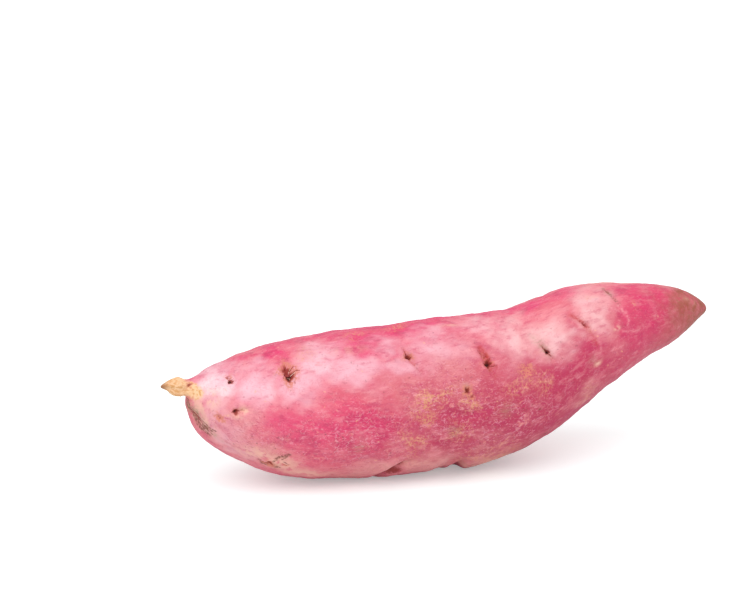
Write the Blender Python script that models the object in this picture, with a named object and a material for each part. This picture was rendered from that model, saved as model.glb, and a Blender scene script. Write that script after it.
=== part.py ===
"""A sweet potato with a red skin, lying on the small flat spot under its own weight.

One solid: a swollen root with a short woody stub at one end and a long tail that rises at the other.
The body is a skin of rings round a curved axis. The swells, girdles, eyes and furrows are pushed into
that skin by formula. Each is placed by its distance along the axis from the stub's tip, in millimetres,
and by its angle round the axis from the top, in degrees, growing towards the front (-Y).
"""

import math
import random

import bmesh
import bpy
import numpy as np

MM = 0.001

# Axis of the root, from the stub's tip to the tail's tip: along, sideways, height, radius (mm).
STATIONS = (
    (-95.6, -3.0, 35.4, 0.0),
    (-92.9, -2.6, 35.3, 1.8),
    (-89.9, -2.2, 34.6, 3.0),
    (-86.2, -1.8, 34.2, 2.9),
    (-83.8, -1.5, 33.1, 6.2),
    (-81.3, -1.1, 31.7, 9.6),
    (-76.8, -0.7, 29.3, 13.6),
    (-69.4, -0.3, 26.7, 16.9),
    (-61.8, 0.0, 25.1, 19.6),
    (-50.2, 0.0, 23.8, 22.5),
    (-36.8, 0.0, 23.5, 23.5),
    (-9.6, 0.0, 24.0, 24.6),
    (4.2, 0.0, 24.9, 24.5),
    (18.2, 0.0, 27.2, 23.6),
    (30.5, 0.1, 31.8, 20.9),
    (40.8, 0.5, 36.9, 19.4),
    (51.6, 1.2, 40.8, 17.3),
    (63.2, 2.2, 43.5, 14.2),
    (75.1, 3.7, 44.7, 11.4),
    (85.1, 5.2, 45.5, 7.5),
    (92.0, 6.3, 45.3, 3.5),
    (95.6, 7.0, 44.8, 0.0),
)

DEPTH_SHARE = 0.98        # front-to-back radius over the upright radius
RINGS = 300               # rings of the fine skin, from tip to tip
RING_POINTS = 240         # points on each ring
SKIN_TRIANGLES = 10600    # triangles left once the fine skin is thinned
AXIS_PROBE = 0.05         # step that gives the axis its direction (mm)

# Slow swells of the section: height (mm), lobes round, turn of the lobes per mm, phase (radians).
SWELLS = (
    (0.45, 2, 0.012, 0.6),
    (0.30, 3, -0.021, 2.1),
    (0.16, 5, 0.034, 4.0),
)
# Girdles that run round the body: height (mm), length of one wave (mm), phase, lean per radian round.
GIRDLES = (
    (0.22, 31.0, 0.8, 0.5),
    (0.09, 12.7, 2.6, 0.9),
    (0.04, 7.3, 1.3, -1.4),
)
SWELL_FADE_RADIUS = 14.0  # below this radius the swells shrink with the body (mm)

# Eyes with a pit: along (mm), round (degrees), pit radius, depth, rim height (mm).
FRONT_EYES = (
    (17.3, 46, 1.3, 1.2, 0.30),
    (38.9, 40, 2.0, 2.3, 0.65),
    (80.0, 37, 1.4, 1.5, 0.35),
    (97.1, 72, 1.3, 0.9, 0.25),
    (98.2, 76, 0.9, 0.4, 0.30),
    (106.3, 52, 1.3, 0.9, 0.20),
    (130.5, 61, 1.2, 0.8, 0.20),
    (145.2, 55, 1.3, 0.8, 0.25),
    (22.1, 88, 1.0, 0.8, 0.20),
    (18.9, 106, 0.9, 0.5, 0.20),
    (120.4, 68, 1.6, 0.5, 0.30),
    (36.2, 138, 1.5, 0.9, 0.35),
    (7.5, 60, 0.8, 0.5, 0.15),
)
EYE_RIM_AT = 1.8          # distance of the rim from the pit's centre, over the pit radius
EYE_RIM_WIDTH = 0.7       # half width of the rim over the pit radius
EYE_DIP_ROUND = 8.0       # half length of the shallow dip that an eye sits in, round the body (mm)
EYE_DIP_ALONG = 3.2       # half width of that dip, along the body (mm)
EYE_DIP_SHARE = 0.32      # depth of that dip over the pit's depth

# Furrows: half width, depth, lip height (mm), then the path as (along, round) corners.
FRONT_FURROWS = (
    (1.2, 1.9, 0.30, ((104.2, 31), (105.6, 46), (106.5, 56), (107.3, 68))),
    (1.1, 1.6, 0.25, ((129.8, 44), (130.3, 58), (131.5, 76))),
    (1.0, 0.9, 0.20, ((80.2, 24), (80.3, 38), (82.3, 48), (83.6, 60))),
    (1.3, 1.1, 0.25, ((143.3, 36), (145.2, 56), (145.2, 76), (143.7, 98))),
    (1.3, 1.1, 0.20, ((157.3, 8), (158.1, 46), (157.4, 72), (160.1, 95))),
    (0.9, 1.0, 0.15, ((20.8, 92), (22.8, 86), (26.6, 80))),
    (1.7, 2.4, 0.40, ((67.8, 162), (69.7, 143), (73.7, 129), (78.9, 118))),
    (1.8, 2.4, 0.40, ((96.7, 174), (95.9, 160), (95.2, 138), (96.5, 112))),
    (4.2, 1.2, 0.00, ((91.8, 174), (91.3, 150), (91.8, 120))),
    (1.7, 0.8, 0.15, ((10.4, 176), (13.8, 153), (20.0, 134))),
    (1.5, 0.6, 0.15, ((116.1, 30), (117.1, 44), (116.7, 60))),
    (1.6, 0.7, 0.15, ((53.9, 14), (55.3, 34), (54.9, 56))),
    (1.7, 0.6, 0.10, ((85.3, 84), (95.3, 91), (107.3, 86))),
    (1.7, 0.5, 0.10, ((43.3, 74), (59.3, 66), (73.3, 72))),
    (1.6, 0.8, 0.15, ((170.3, 12), (171.8, 55), (169.9, 98))),
)
FURROW_END_WIDTH = 0.6     # width of a furrow at its ends over its width at mid length
FURROW_LIP_AT = 2.0        # distance of the lips from the middle of a furrow, over its half width

# Low bulges: along (mm), round (degrees), half length, half width, height (mm).
BULGES = (
    (102.8, 148, 6.0, 9.0, 0.8),
    (83.3, 136, 7.0, 9.0, 0.5),
    (105.3, 193, 14.0, 8.0, 1.0),
    (46.3, 40, 6.0, 8.0, 0.4),
    (150.3, 22, 8.0, 8.0, 0.5),
    (111.3, 96, 14.0, 9.0, 0.4),
    (69.3, 245, 16.0, 11.0, 0.6),
    (125.3, 285, 13.0, 10.0, 0.6),
    (33.3, 300, 9.0, 9.0, 0.5),
    (10.4, 168, 2.4, 4.5, 1.6),
)

# Eyes and furrows of the side that faces away, in rows from the stub to the tail.
BACK_ROWS = (207.0, 246.0, 286.0, 324.0)   # angle of each row (degrees)
BACK_FIRST_EYE = 23.3                      # first eye of the first row, along the axis (mm)
BACK_ROW_SHIFT = 9.5                       # each row starts this much further on (mm)
BACK_EYE_GAP = (24.0, 37.0)                # least and most distance between two eyes of a row (mm)
BACK_LAST_EYE = 173.3
BACK_EYE_SCATTER = 7.0                     # how far an eye strays from its row (degrees)
BACK_EYE_RADIUS = (0.9, 1.7)
BACK_EYE_DEPTH = (0.6, 1.7)
BACK_EYE_RIM = 0.3
BACK_FURROW_SHARE = 0.55                   # share of the eyes with a furrow across them
BACK_FURROW_HALF_LENGTH = (4.0, 9.0)       # (mm)
BACK_FURROW_LEAN = 2.0                     # how far a furrow's ends stray along the axis (mm)
BACK_FURROW_HALF_WIDTH = 1.2
BACK_FURROW_DEPTH = 0.7
BACK_FURROW_LIP = 0.2
BACK_SEED = 11

# Ridges of the woody stub, where the root was torn from the plant.
STUB_LENGTH = 10.5
STUB_RIDGES = 5
STUB_RIDGE_HEIGHT = 0.28
STUB_RIDGE_TWIST = 0.2     # turn of the ridges along the stub (radians per mm)

BLOCK_SIZE = (220.0, 90.0, 40.0)           # block below the table that planes the flat spot (mm)

SKIN_COLOUR = (0.70, 0.155, 0.215, 1.0)
SKIN_ROUGHNESS = 0.48


def clear_scene():
    for obj in list(bpy.data.objects):
        bpy.data.objects.remove(obj, do_unlink=True)


def natural_spline(knots, values, at):
    """A smooth curve through the values at the knots, read at the places asked for."""
    count = len(knots)
    gaps = np.diff(knots)
    slopes = np.diff(values) / gaps
    matrix = np.eye(count)
    wanted = np.zeros(count)
    for i in range(1, count - 1):
        matrix[i, i - 1] = gaps[i - 1]
        matrix[i, i] = 2.0 * (gaps[i - 1] + gaps[i])
        matrix[i, i + 1] = gaps[i]
        wanted[i] = 6.0 * (slopes[i] - slopes[i - 1])
    bend = np.linalg.solve(matrix, wanted)
    i = np.clip(np.searchsorted(knots, at) - 1, 0, count - 2)
    before = at - knots[i]
    after = knots[i + 1] - at
    gap = gaps[i]
    cubic = (bend[i] * after**3 + bend[i + 1] * before**3) / (6.0 * gap)
    start = (values[i] / gap - bend[i] * gap / 6.0) * after
    end = (values[i + 1] / gap - bend[i + 1] * gap / 6.0) * before
    return cubic + start + end


class Axis:
    """The curved axis of the root, with the body's radius along it, measured in mm from the stub."""

    def __init__(self, stations):
        table = np.array(stations)
        self.centres = table[:, :3]
        self.squares = table[:, 3] ** 2
        steps = np.linalg.norm(np.diff(self.centres, axis=0), axis=1)
        self.knots = np.concatenate([[0.0], np.cumsum(steps)])
        self.length = self.knots[-1]

    def centre(self, along):
        columns = [natural_spline(self.knots, column, along) for column in self.centres.T]
        return np.stack(columns, axis=-1)

    def radius(self, along):
        """The square of the radius is what runs smoothly, so both tips come out round."""
        return np.sqrt(np.maximum(natural_spline(self.knots, self.squares, along), 0.0))

    def section_frame(self, along):
        """The two directions of each ring: up, and sideways towards the front."""
        ahead = self.centre(np.minimum(along + AXIS_PROBE, self.length))
        behind = self.centre(np.maximum(along - AXIS_PROBE, 0.0))
        tangent = ahead - behind
        tangent /= np.linalg.norm(tangent, axis=-1, keepdims=True)
        side = np.cross(tangent, (0.0, 0.0, 1.0))
        side /= np.linalg.norm(side, axis=-1, keepdims=True)
        return np.cross(side, tangent), side


def bell(distance, width):
    return np.exp(-((distance / width) ** 2))


def turn_between(around, other):
    """The short way round from one angle to another, in radians."""
    return (around - other + math.pi) % (2.0 * math.pi) - math.pi


def swell_height(along, around, radius):
    height = np.zeros_like(around)
    for size, lobes, twist, phase in SWELLS:
        height += size * np.cos(lobes * around + twist * along + phase)
    for size, wave, phase, lean in GIRDLES:
        height += size * np.sin(2.0 * math.pi * along / wave + phase + lean * np.cos(around))
    return height * np.minimum(radius / SWELL_FADE_RADIUS, 1.0) ** 2


def bulge_height(axis, along, around):
    height = np.zeros_like(around)
    for at, turn, half_length, half_width, size in BULGES:
        girth = axis.radius(np.array(at)) * turn_between(around, math.radians(turn))
        height += size * bell(along - at, half_length) * bell(girth, half_width)
    return height


def eye_height(axis, eyes, along, around):
    height = np.zeros_like(around)
    for at, turn, radius, depth, rim in eyes:
        girth = axis.radius(np.array(at)) * turn_between(around, math.radians(turn))
        distance = np.hypot(along - at, girth)
        height -= depth * bell(distance, radius)
        height += rim * bell(distance - EYE_RIM_AT * radius, EYE_RIM_WIDTH * radius)
        dip = bell(along - at, EYE_DIP_ALONG) * bell(girth, EYE_DIP_ROUND)
        height -= EYE_DIP_SHARE * depth * dip
    return height


def along_path(axis, path, along, around):
    """Shortest distance over the skin to a path of straight runs (mm), and the share of the path there."""
    nearest = np.full_like(around, np.inf)
    place = np.zeros_like(around)
    for i, ((start, start_turn), (end, end_turn)) in enumerate(zip(path, path[1:])):
        girth = float(axis.radius(np.array((start + end) / 2.0)))
        run = np.array([end - start, girth * math.radians(end_turn - start_turn)])
        x = along - start
        y = girth * turn_between(around, math.radians(start_turn))
        share = np.clip((x * run[0] + y * run[1]) / (run @ run), 0.0, 1.0)
        distance = np.hypot(x - share * run[0], y - share * run[1])
        place = np.where(distance < nearest, (i + share) / (len(path) - 1), place)
        nearest = np.minimum(nearest, distance)
    return nearest, place


def furrow_height(axis, furrows, along, around):
    """Furrows are deepest and widest at mid length, and run out to nothing at both ends."""
    height = np.zeros_like(around)
    for half_width, depth, lip, path in furrows:
        distance, place = along_path(axis, path, along, around)
        fullness = 1.0 - (2.0 * place - 1.0) ** 2
        width = half_width * (FURROW_END_WIDTH + (1.0 - FURROW_END_WIDTH) * fullness)
        height -= depth * fullness * bell(distance, width)
        height += lip * fullness * bell(distance - FURROW_LIP_AT * half_width, half_width)
    return height


def stub_height(along, around):
    """Woody ridges along the stub, fading into the body."""
    ridges = STUB_RIDGE_HEIGHT * np.cos(STUB_RIDGES * around + STUB_RIDGE_TWIST * along)
    return ridges * np.sin(math.pi * np.clip(along / STUB_LENGTH, 0.0, 1.0))


def back_marks(axis):
    """Eyes and furrows of the far side, in rows, with a fixed seed for their scatter."""
    pick = random.Random(BACK_SEED)
    eyes = []
    furrows = []
    for row, turn in enumerate(BACK_ROWS):
        at = BACK_FIRST_EYE + BACK_ROW_SHIFT * row
        while at < BACK_LAST_EYE:
            place = turn + pick.uniform(-BACK_EYE_SCATTER, BACK_EYE_SCATTER)
            radius = pick.uniform(*BACK_EYE_RADIUS)
            eyes.append((at, place, radius, pick.uniform(*BACK_EYE_DEPTH), BACK_EYE_RIM))
            if pick.random() < BACK_FURROW_SHARE:
                furrows.append(furrow_across(axis, at, place, pick))
            at += pick.uniform(*BACK_EYE_GAP)
    return eyes, furrows


def furrow_across(axis, at, place, pick):
    girth = float(axis.radius(np.array(at)))
    reach = math.degrees(pick.uniform(*BACK_FURROW_HALF_LENGTH) / girth)
    start = (at + pick.uniform(-BACK_FURROW_LEAN, BACK_FURROW_LEAN), place - reach)
    end = (at + pick.uniform(-BACK_FURROW_LEAN, BACK_FURROW_LEAN), place + reach)
    return BACK_FURROW_HALF_WIDTH, BACK_FURROW_DEPTH, BACK_FURROW_LIP, (start, (at, place), end)


def skin_points(axis):
    """Points of every ring between the two tips, in mm."""
    along = np.linspace(0.0, axis.length, RINGS + 2)[1:-1, None]
    around = np.linspace(0.0, 2.0 * math.pi, RING_POINTS, endpoint=False)[None, :]
    along, around = np.broadcast_arrays(along, around)
    eyes, furrows = back_marks(axis)
    radius = axis.radius(along)
    relief = swell_height(along, around, radius)
    relief = relief + bulge_height(axis, along, around)
    relief = relief + eye_height(axis, list(FRONT_EYES) + eyes, along, around)
    relief = relief + furrow_height(axis, list(FRONT_FURROWS) + furrows, along, around)
    relief = relief + stub_height(along, around)
    up, side = axis.section_frame(along)
    reach = (radius + relief)[..., None]
    spoke = np.cos(around)[..., None] * up + DEPTH_SHARE * np.sin(around)[..., None] * side
    return axis.centre(along) + reach * spoke


def middle_of(points):
    """The middle of the points' box in X and Y, at the table's height."""
    low = points.min(axis=(0, 1))
    high = points.max(axis=(0, 1))
    middle = (low + high) / 2.0
    middle[2] = 0.0
    return middle


def build_skin(name, axis):
    rings = skin_points(axis)
    tips = axis.centre(np.array([0.0, axis.length]))
    middle = middle_of(np.concatenate([rings, np.repeat(tips[:, None, :], RING_POINTS, axis=1)]))
    rings = (rings - middle) * MM
    tips = (tips - middle) * MM
    bm = bmesh.new()
    loops = [[bm.verts.new(point) for point in ring] for ring in rings]
    for ring, following in zip(loops, loops[1:]):
        for i in range(RING_POINTS):
            j = (i + 1) % RING_POINTS
            bm.faces.new((ring[i], ring[j], following[j], following[i]))
    for tip, ring in zip(tips, (loops[0], loops[-1])):
        point = bm.verts.new(tip)
        for i in range(RING_POINTS):
            bm.faces.new((point, ring[i], ring[(i + 1) % RING_POINTS]))
    bmesh.ops.recalc_face_normals(bm, faces=bm.faces)
    mesh = bpy.data.meshes.new(name)
    bm.to_mesh(mesh)
    bm.free()
    mesh.shade_smooth()
    skin = bpy.data.objects.new(name, mesh)
    bpy.context.collection.objects.link(skin)
    return skin


def thin_out(obj, triangles):
    """Fewer triangles, and the finest ones kept where the skin has the most form."""
    thin = obj.modifiers.new("thin_out", "DECIMATE")
    thin.decimate_type = "COLLAPSE"
    thin.ratio = triangles / sum(len(face.vertices) - 2 for face in obj.data.polygons)
    thin.use_collapse_triangulate = True


def plane_flat_spot(obj):
    """A hidden block below the table takes the flat spot off the belly."""
    length, width, height = (side * MM for side in BLOCK_SIZE)
    bpy.ops.mesh.primitive_cube_add(size=1.0, location=(0.0, 0.0, -height / 2.0))
    block = bpy.context.object
    block.name = "table_block"
    block.scale = (length, width, height)
    block.hide_render = True
    block.display_type = "WIRE"
    cut = obj.modifiers.new("flat_spot", "BOOLEAN")
    cut.operation = "DIFFERENCE"
    cut.solver = "EXACT"
    cut.object = block


def skin_material():
    material = bpy.data.materials.new("skin")
    material.use_nodes = True
    shader = material.node_tree.nodes["Principled BSDF"]
    shader.inputs["Base Color"].default_value = SKIN_COLOUR
    shader.inputs["Roughness"].default_value = SKIN_ROUGHNESS
    shader.inputs["Metallic"].default_value = 0.0
    return material


def main():
    clear_scene()
    root = build_skin("sweet_potato", Axis(STATIONS))
    root.data.materials.append(skin_material())
    thin_out(root, SKIN_TRIANGLES)
    plane_flat_spot(root)


main()
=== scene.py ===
import math
import random

import bpy
import numpy as np
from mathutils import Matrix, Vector


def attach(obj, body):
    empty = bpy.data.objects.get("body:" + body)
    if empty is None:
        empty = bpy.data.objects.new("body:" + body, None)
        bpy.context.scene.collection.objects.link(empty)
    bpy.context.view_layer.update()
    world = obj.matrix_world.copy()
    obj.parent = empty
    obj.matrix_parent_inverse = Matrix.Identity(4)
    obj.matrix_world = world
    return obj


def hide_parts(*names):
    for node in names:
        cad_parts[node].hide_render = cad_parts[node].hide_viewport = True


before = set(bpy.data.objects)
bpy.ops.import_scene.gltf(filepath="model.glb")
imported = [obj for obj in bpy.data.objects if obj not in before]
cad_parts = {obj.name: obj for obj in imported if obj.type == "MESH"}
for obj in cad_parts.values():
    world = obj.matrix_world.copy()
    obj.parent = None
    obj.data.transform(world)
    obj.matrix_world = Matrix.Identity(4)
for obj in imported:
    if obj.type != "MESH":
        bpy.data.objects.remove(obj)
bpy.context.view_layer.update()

MM = 0.001

# The root's axis, from the stub's tip to the tail's tip: along, sideways, height, radius (mm).
STATIONS = (
    (-95.6, -3, 35.4, 0), (-92.9, -2.6, 35.3, 1.8), (-89.9, -2.2, 34.6, 3), (-86.2, -1.8, 34.2, 2.9),
    (-83.8, -1.5, 33.1, 6.2), (-81.3, -1.1, 31.7, 9.6), (-76.8, -0.7, 29.3, 13.6), (-69.4, -0.3, 26.7, 16.9),
    (-61.8, 0, 25.1, 19.6), (-50.2, 0, 23.8, 22.5), (-36.8, 0, 23.5, 23.5), (-9.6, 0, 24, 24.6),
    (4.2, 0, 24.9, 24.5), (18.2, 0, 27.2, 23.6), (30.5, 0.1, 31.8, 20.9), (40.8, 0.5, 36.9, 19.4),
    (51.6, 1.2, 40.8, 17.3), (63.2, 2.2, 43.5, 14.2), (75.1, 3.7, 44.7, 11.4), (85.1, 5.2, 45.5, 7.5),
    (92, 6.3, 45.3, 3.5), (95.6, 7, 44.8, 0),
)
DEPTH_SHARE = 0.98
AXIS_PROBE = 0.05
# Slow swells: height (mm), lobes round the root, twist (radians per mm), phase.
SWELLS = (
    (0.45, 2, 0.012, 0.6), (0.3, 3, -0.021, 2.1), (0.16, 5, 0.034, 4),
)
# Girdles: height (mm), wave along the root (mm), phase, lean.
GIRDLES = (
    (0.22, 31, 0.8, 0.5), (0.09, 12.7, 2.6, 0.9), (0.04, 7.3, 1.3, -1.4),
)
SWELL_FADE_RADIUS = 14.0
# Bulges and dips: along (mm), round (degrees), half length, half width, height (mm).
BULGES = (
    (102.8, 148, 6, 9, 0.4), (83.3, 136, 7, 9, 0.5), (105.3, 193, 14, 8, 1), (46.3, 40, 6, 8, 0.4),
    (150.3, 22, 8, 8, 0.5), (111.3, 96, 14, 9, 0.4), (69.3, 245, 16, 11, 0.6), (125.3, 285, 13, 10, 0.6),
    (33.3, 300, 9, 9, 0.5), (10.4, 168, 2.4, 4.5, 1.6),
)

# Eyes: along (mm), round (degrees), pit radius, depth, rim height (mm), how dark, how corky, points.
FRONT_EYES = (
    (18.2, 47, 0.8, 1, 0.3, 0.95, 0.45, 3), (17.4, 40, 0.8, 0.5, 0.35, 0.35, 0.5, 4),
    (39, 44, 1.5, 1.5, 0.45, 1, 1, 3), (38.1, 37, 1.5, 1, 0.5, 0.62, 1, 4),
    (80, 37, 0.9, 1.1, 0.35, 0.85, 0.8, 3), (97.1, 72, 0.9, 0.7, 0.25, 0.6, 0.8, 4),
    (98.4, 77, 0.5, 0.2, 0.35, 0.4, 0.8, 3), (106.5, 54, 1.1, 1, 0.2, 0.95, 0.6, 4),
    (106.4, 47, 0.9, 0.5, 0.2, 0.3, 0.5, 3), (130.5, 61, 0.7, 0.7, 0.2, 0.95, 0.1, 3),
    (145.2, 55, 0.8, 0.6, 0.2, 0.3, 0.2, 3), (22.1, 89, 0.8, 0.6, 0.2, 0.75, 0.5, 2),
    (18.8, 107, 0.7, 0.4, 0.2, 0.3, 0.9, 2), (120.4, 68, 1.2, 0.3, 0.35, 0.1, 0.8, 3),
    (36.4, 136, 0.9, 0.5, 0.3, 0.5, 0.7, 2), (8.6, 62, 0.7, 0.4, 0.15, 0.45, 0.5, 2),
)
EYE_RIM_AT = 1.8
EYE_RIM_WIDTH = 0.7
EYE_DIP_ROUND = 8.0
EYE_DIP_ALONG = 3.2
EYE_DIP_SHARE = 0.32
EYE_POINT_SHARE = 0.20     # how far the points of a torn eye reach past its round pit
EYE_FINE_POINT_SHARE = 0.10
EYE_FINE_POINTS = 3        # how many more of the fine points there are
CORK_REACH = 2.4           # reach of the corky ring over the pit radius

# A furrow: the share of its width that its ends keep, where its lip and its cork lie (half widths).
FURROW_END_WIDTH = 0.6
FURROW_LIP_AT = 2.0
FURROW_CORK_REACH = 2.2

# Furrows: half width, depth, lip (mm), how dark, how corky, path as (along, round) corners.
FRONT_FURROWS = (
    (0.9, 0.7, 0.3, 0.2, 0.3, ((104.3, 33), (105.4, 46), (106.6, 56), (107, 63))),
    (0.8, 1, 0.25, 0.25, 0.05, ((129.8, 44), (130.3, 58), (131.5, 76))),
    (0.9, 0.8, 0.2, 0.15, 0.3, ((80.2, 24), (80.3, 38), (82.3, 48), (83.6, 60))),
    (1.2, 0.5, 0.1, 0.1, 0.25, ((143.3, 36), (145.2, 56), (145.2, 76), (143.7, 98))),
    (1.2, 0.5, 0.1, 0.05, 0.1, ((157.3, 8), (158.1, 46), (157.4, 72), (160.1, 95))),
    (0.8, 0.9, 0.15, 0.25, 0.3, ((20.8, 92), (22.8, 86), (26.6, 80))),
    (1.5, 2.2, 0.4, 0.35, 0.2, ((68.3, 162), (70.8, 145), (74.8, 132), (79, 123))),
    (1.5, 2.4, 0.4, 0.25, 0.2, ((96.7, 176), (95.9, 164), (95.2, 146), (96.5, 128))),
    (4.2, 1.2, 0, 0, 0, ((91.8, 174), (91.3, 150), (91.8, 120))),
    (1.7, 0.8, 0.15, 0.15, 0.2, ((10.4, 176), (13.8, 153), (20, 134))),
    (1.5, 0.3, 0.08, 0, 0.05, ((116.1, 30), (117.1, 44), (116.7, 60))),
    (1.6, 0.4, 0.08, 0, 0.05, ((53.9, 14), (55.3, 34), (54.9, 56))),
    (1.7, 0.6, 0.1, 0, 0, ((85.3, 84), (95.3, 91), (107.3, 86))),
    (1.7, 0.5, 0.1, 0, 0, ((43.3, 74), (59.3, 66), (73.3, 72))),
    (1.6, 0.5, 0.1, 0.05, 0.2, ((170.3, 12), (171.8, 55), (169.9, 98))),
)

# Fine cracks that run out of the eyes, too fine for the solid, and two lines of painted shade in the fold:
# the same values as the furrows.
CRACKS = (
    (0.2, 0.4, 0.06, 0.42, 0.3, ((38.2, 37), (37.8, 34), (37, 31))),
    (0.2, 0.4, 0.06, 0.42, 0.3, ((39.3, 38), (40.6, 35), (42.2, 34))),
    (0.2, 0.4, 0.06, 0.4, 0.3, ((39.6, 41), (41.8, 39), (43.9, 40))),
    (0.18, 0.3, 0.06, 0.35, 0.3, ((39.6, 46), (40.8, 50), (41, 54))),
    (0.18, 0.3, 0.06, 0.3, 0.3, ((37.6, 42), (36.6, 45), (36.9, 49))),
    (0.16, 0.3, 0.06, 0.35, 0.3, ((16.7, 41), (17.2, 37), (18.2, 36))),
    (0.26, 0.3, 0.08, 0.3, 0.15, ((103.9, 31), (105.2, 37), (105.2, 44), (106.2, 51))),
    (0.2, 0.3, 0.08, 0.3, 0.1, ((104.4, 35), (104.7, 42), (105.8, 48))),
    (0.22, 0.4, 0.08, 0.42, 0.3, ((106.1, 55), (107.9, 57), (109.9, 57))),
    (0.2, 0.4, 0.08, 0.35, 0.3, ((106.2, 53), (107.6, 51), (108.4, 49))),
    (0.22, 0.3, 0.08, 0.28, 0.2, ((106.3, 55), (106.8, 62), (106.6, 70))),
    (0.24, 0.5, 0.08, 0.5, 0, ((129.7, 50), (130.4, 60), (131.5, 71))),
    (0.2, 0.3, 0.08, 0.2, 0, ((128.7, 40), (129.5, 47))),
    (0.26, 0.5, 0.08, 0.5, 0.4, ((79.3, 28), (79.8, 36), (80.5, 42))),
    (0.24, 0.4, 0.08, 0.3, 0.3, ((80.7, 41), (82.2, 48), (83.1, 57))),
    (0.28, 0.5, 0.1, 0.55, 0.4, ((21, 92), (22.2, 88), (23.6, 85))),
    (0.28, 0.5, 0.1, 0.45, 0.4, ((96.5, 68), (97.1, 72), (97.7, 76))),
    (0.26, 0.4, 0.08, 0.34, 0.3, ((143.7, 45), (144.9, 54), (145.7, 61))),
    (0.3, 0.4, 0.08, 0.4, 0.1, ((156.8, 14), (157.5, 30), (157.9, 44))),
    (0.24, 0.3, 0.08, 0.25, 0.1, ((145.7, 61), (146.3, 74), (145, 92))),
    # These last two darken the fold's crease and the skin under it: painted shade.
    (0.55, 0.7, 0.1, 0.7, 0.2, ((70.4, 148), (73.6, 136), (77.4, 128))),
    (1.4, 0.6, 0, 0.42, 0, ((70.6, 149), (74, 141), (78, 133))),
    (0.28, 0.4, 0.08, 0.4, 0.1, ((10.4, 170), (13.4, 156), (18.4, 138))),
    (0.24, 0.3, 0.08, 0.35, 0.1, ((12, 160), (15, 147), (20.4, 134))),
    (0.24, 0.3, 0.06, 0.35, 0.1, ((10.8, 178), (13.2, 164), (16.6, 150))),
    (0.22, 0.3, 0.06, 0.3, 0.1, ((12.4, 152), (15.4, 142), (18.6, 130))),
    (0.26, 0.4, 0.06, 0.35, 0.6, ((32.4, 140), (34.6, 137), (37.4, 139))),
    (0.22, 0.3, 0.06, 0.3, 0.6, ((34.6, 143), (37.2, 141), (38.6, 143))),
    (0.24, 0.3, 0.06, 0.3, 0.6, ((38.6, 131), (40.8, 132), (42.4, 129))),
    (0.26, 0.3, 0.06, 0.25, 0.1, ((123.9, 17), (126.7, 25))),
    (0.28, 0.3, 0.06, 0.2, 0, ((113.5, 22), (117.5, 30), (120.5, 34))),
)

# Dark stains along fine lines: half width (mm), strength, path as (along, round) corners.
STAIN_LINES = (
    (0.8, 0.95, ((34.2, 140), (36.4, 137), (38.6, 138))), (0.5, 0.8, ((33, 136), (34.6, 139))),
    (0.65, 0.85, ((37.2, 127), (38.2, 123))), (0.75, 0.85, ((38.6, 122), (40.6, 118))),
    (0.45, 0.75, ((39.2, 125), (40, 121))), (0.45, 0.8, ((36.8, 131), (37.6, 128))),
    (0.4, 0.85, ((38, 140), (39.4, 138))), (0.25, 0.55, ((31.8, 133), (33.2, 135))),
    (0.3, 0.6, ((39.8, 128), (41.4, 130))), (0.25, 0.6, ((29.2, 122), (30, 123))),
    (0.75, 0.6, ((156.8, 17), (157.4, 30), (158.3, 46))), (0.9, 0.8, ((110, 149), (114, 147), (118, 141))),
    (0.7, 0.7, ((119.5, 137), (122.5, 133))), (0.4, 0.8, ((119.4, 101), (120.8, 103))),
    (0.5, 0.4, ((76.5, 104), (79.5, 110), (82.5, 117))), (0.4, 0.3, ((91, 98), (92.5, 104))),
    (0.6, 0.5, ((44, 232), (49, 238), (52, 237))), (0.5, 0.5, ((118, 214), (122, 219))),
    (0.6, 0.5, ((76, 332), (80, 326))), (0.5, 0.5, ((158, 252), (162, 247))),
)

# The dry scar under the stub: short stained lines scattered along one path, drawn from a fixed seed.
SCAR_PATH = ((9.0, 171), (13.8, 152), (21.0, 134))
SCAR_HALF_WIDTHS = (1.9, 0.7)        # of the band of lines, at its start and end (mm)
SCAR_LINES = 38
SCAR_LINE_SHARES = (0.10, 0.28)      # length of a line, as a share of the path
SCAR_LINE_HALF_WIDTH = (0.16, 0.28)
SCAR_STRENGTH = (0.8, 1.0)
SCAR_CROWDING = 1.2        # how much closer together the lines lie at the start of the path
SCAR_LEAN = 0.5            # how far a line shifts along the root, as a share of its shift across
SCAR_SEED = 5

# Rusty red flesh that shows through the skin beside a torn eye or in a fold, given in the same way.
RUSTY_LINES = (
    (0.8, 0.8, ((143, 40), (144.5, 49), (145.4, 59))), (0.6, 0.5, ((145.4, 60), (146, 69), (145.8, 79))),
    (0.95, 0.85, ((105.9, 39), (106.9, 46), (107.5, 52))), (0.7, 0.6, ((107.4, 54), (109.4, 58))),
    (0.9, 0.45, ((107.2, 59), (107.6, 65))), (1, 0.7, ((37.6, 34), (38.4, 39), (39.4, 44))),
    (0.8, 0.45, ((79.2, 28), (79.8, 35))),
)

# Thin pale lines round the tail: half width (mm), strength, path.
PALE_LINES = (
    (0.4, 0.55, ((158, 46), (158.8, 58), (159.2, 68), (158.2, 76))),
    (0.4, 0.45, ((156, 78), (158.4, 82), (162, 84))),
    (0.4, 0.45, ((145.6, 60), (146.8, 70), (146.8, 80), (146, 88))),
    (0.4, 0.4, ((116.6, 92), (119, 98), (121.4, 102))), (0.4, 0.4, ((60, 96), (64, 93), (69, 95))),
    (0.4, 0.4, ((110, 11), (114, 15), (117.4, 14))),
)

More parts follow.
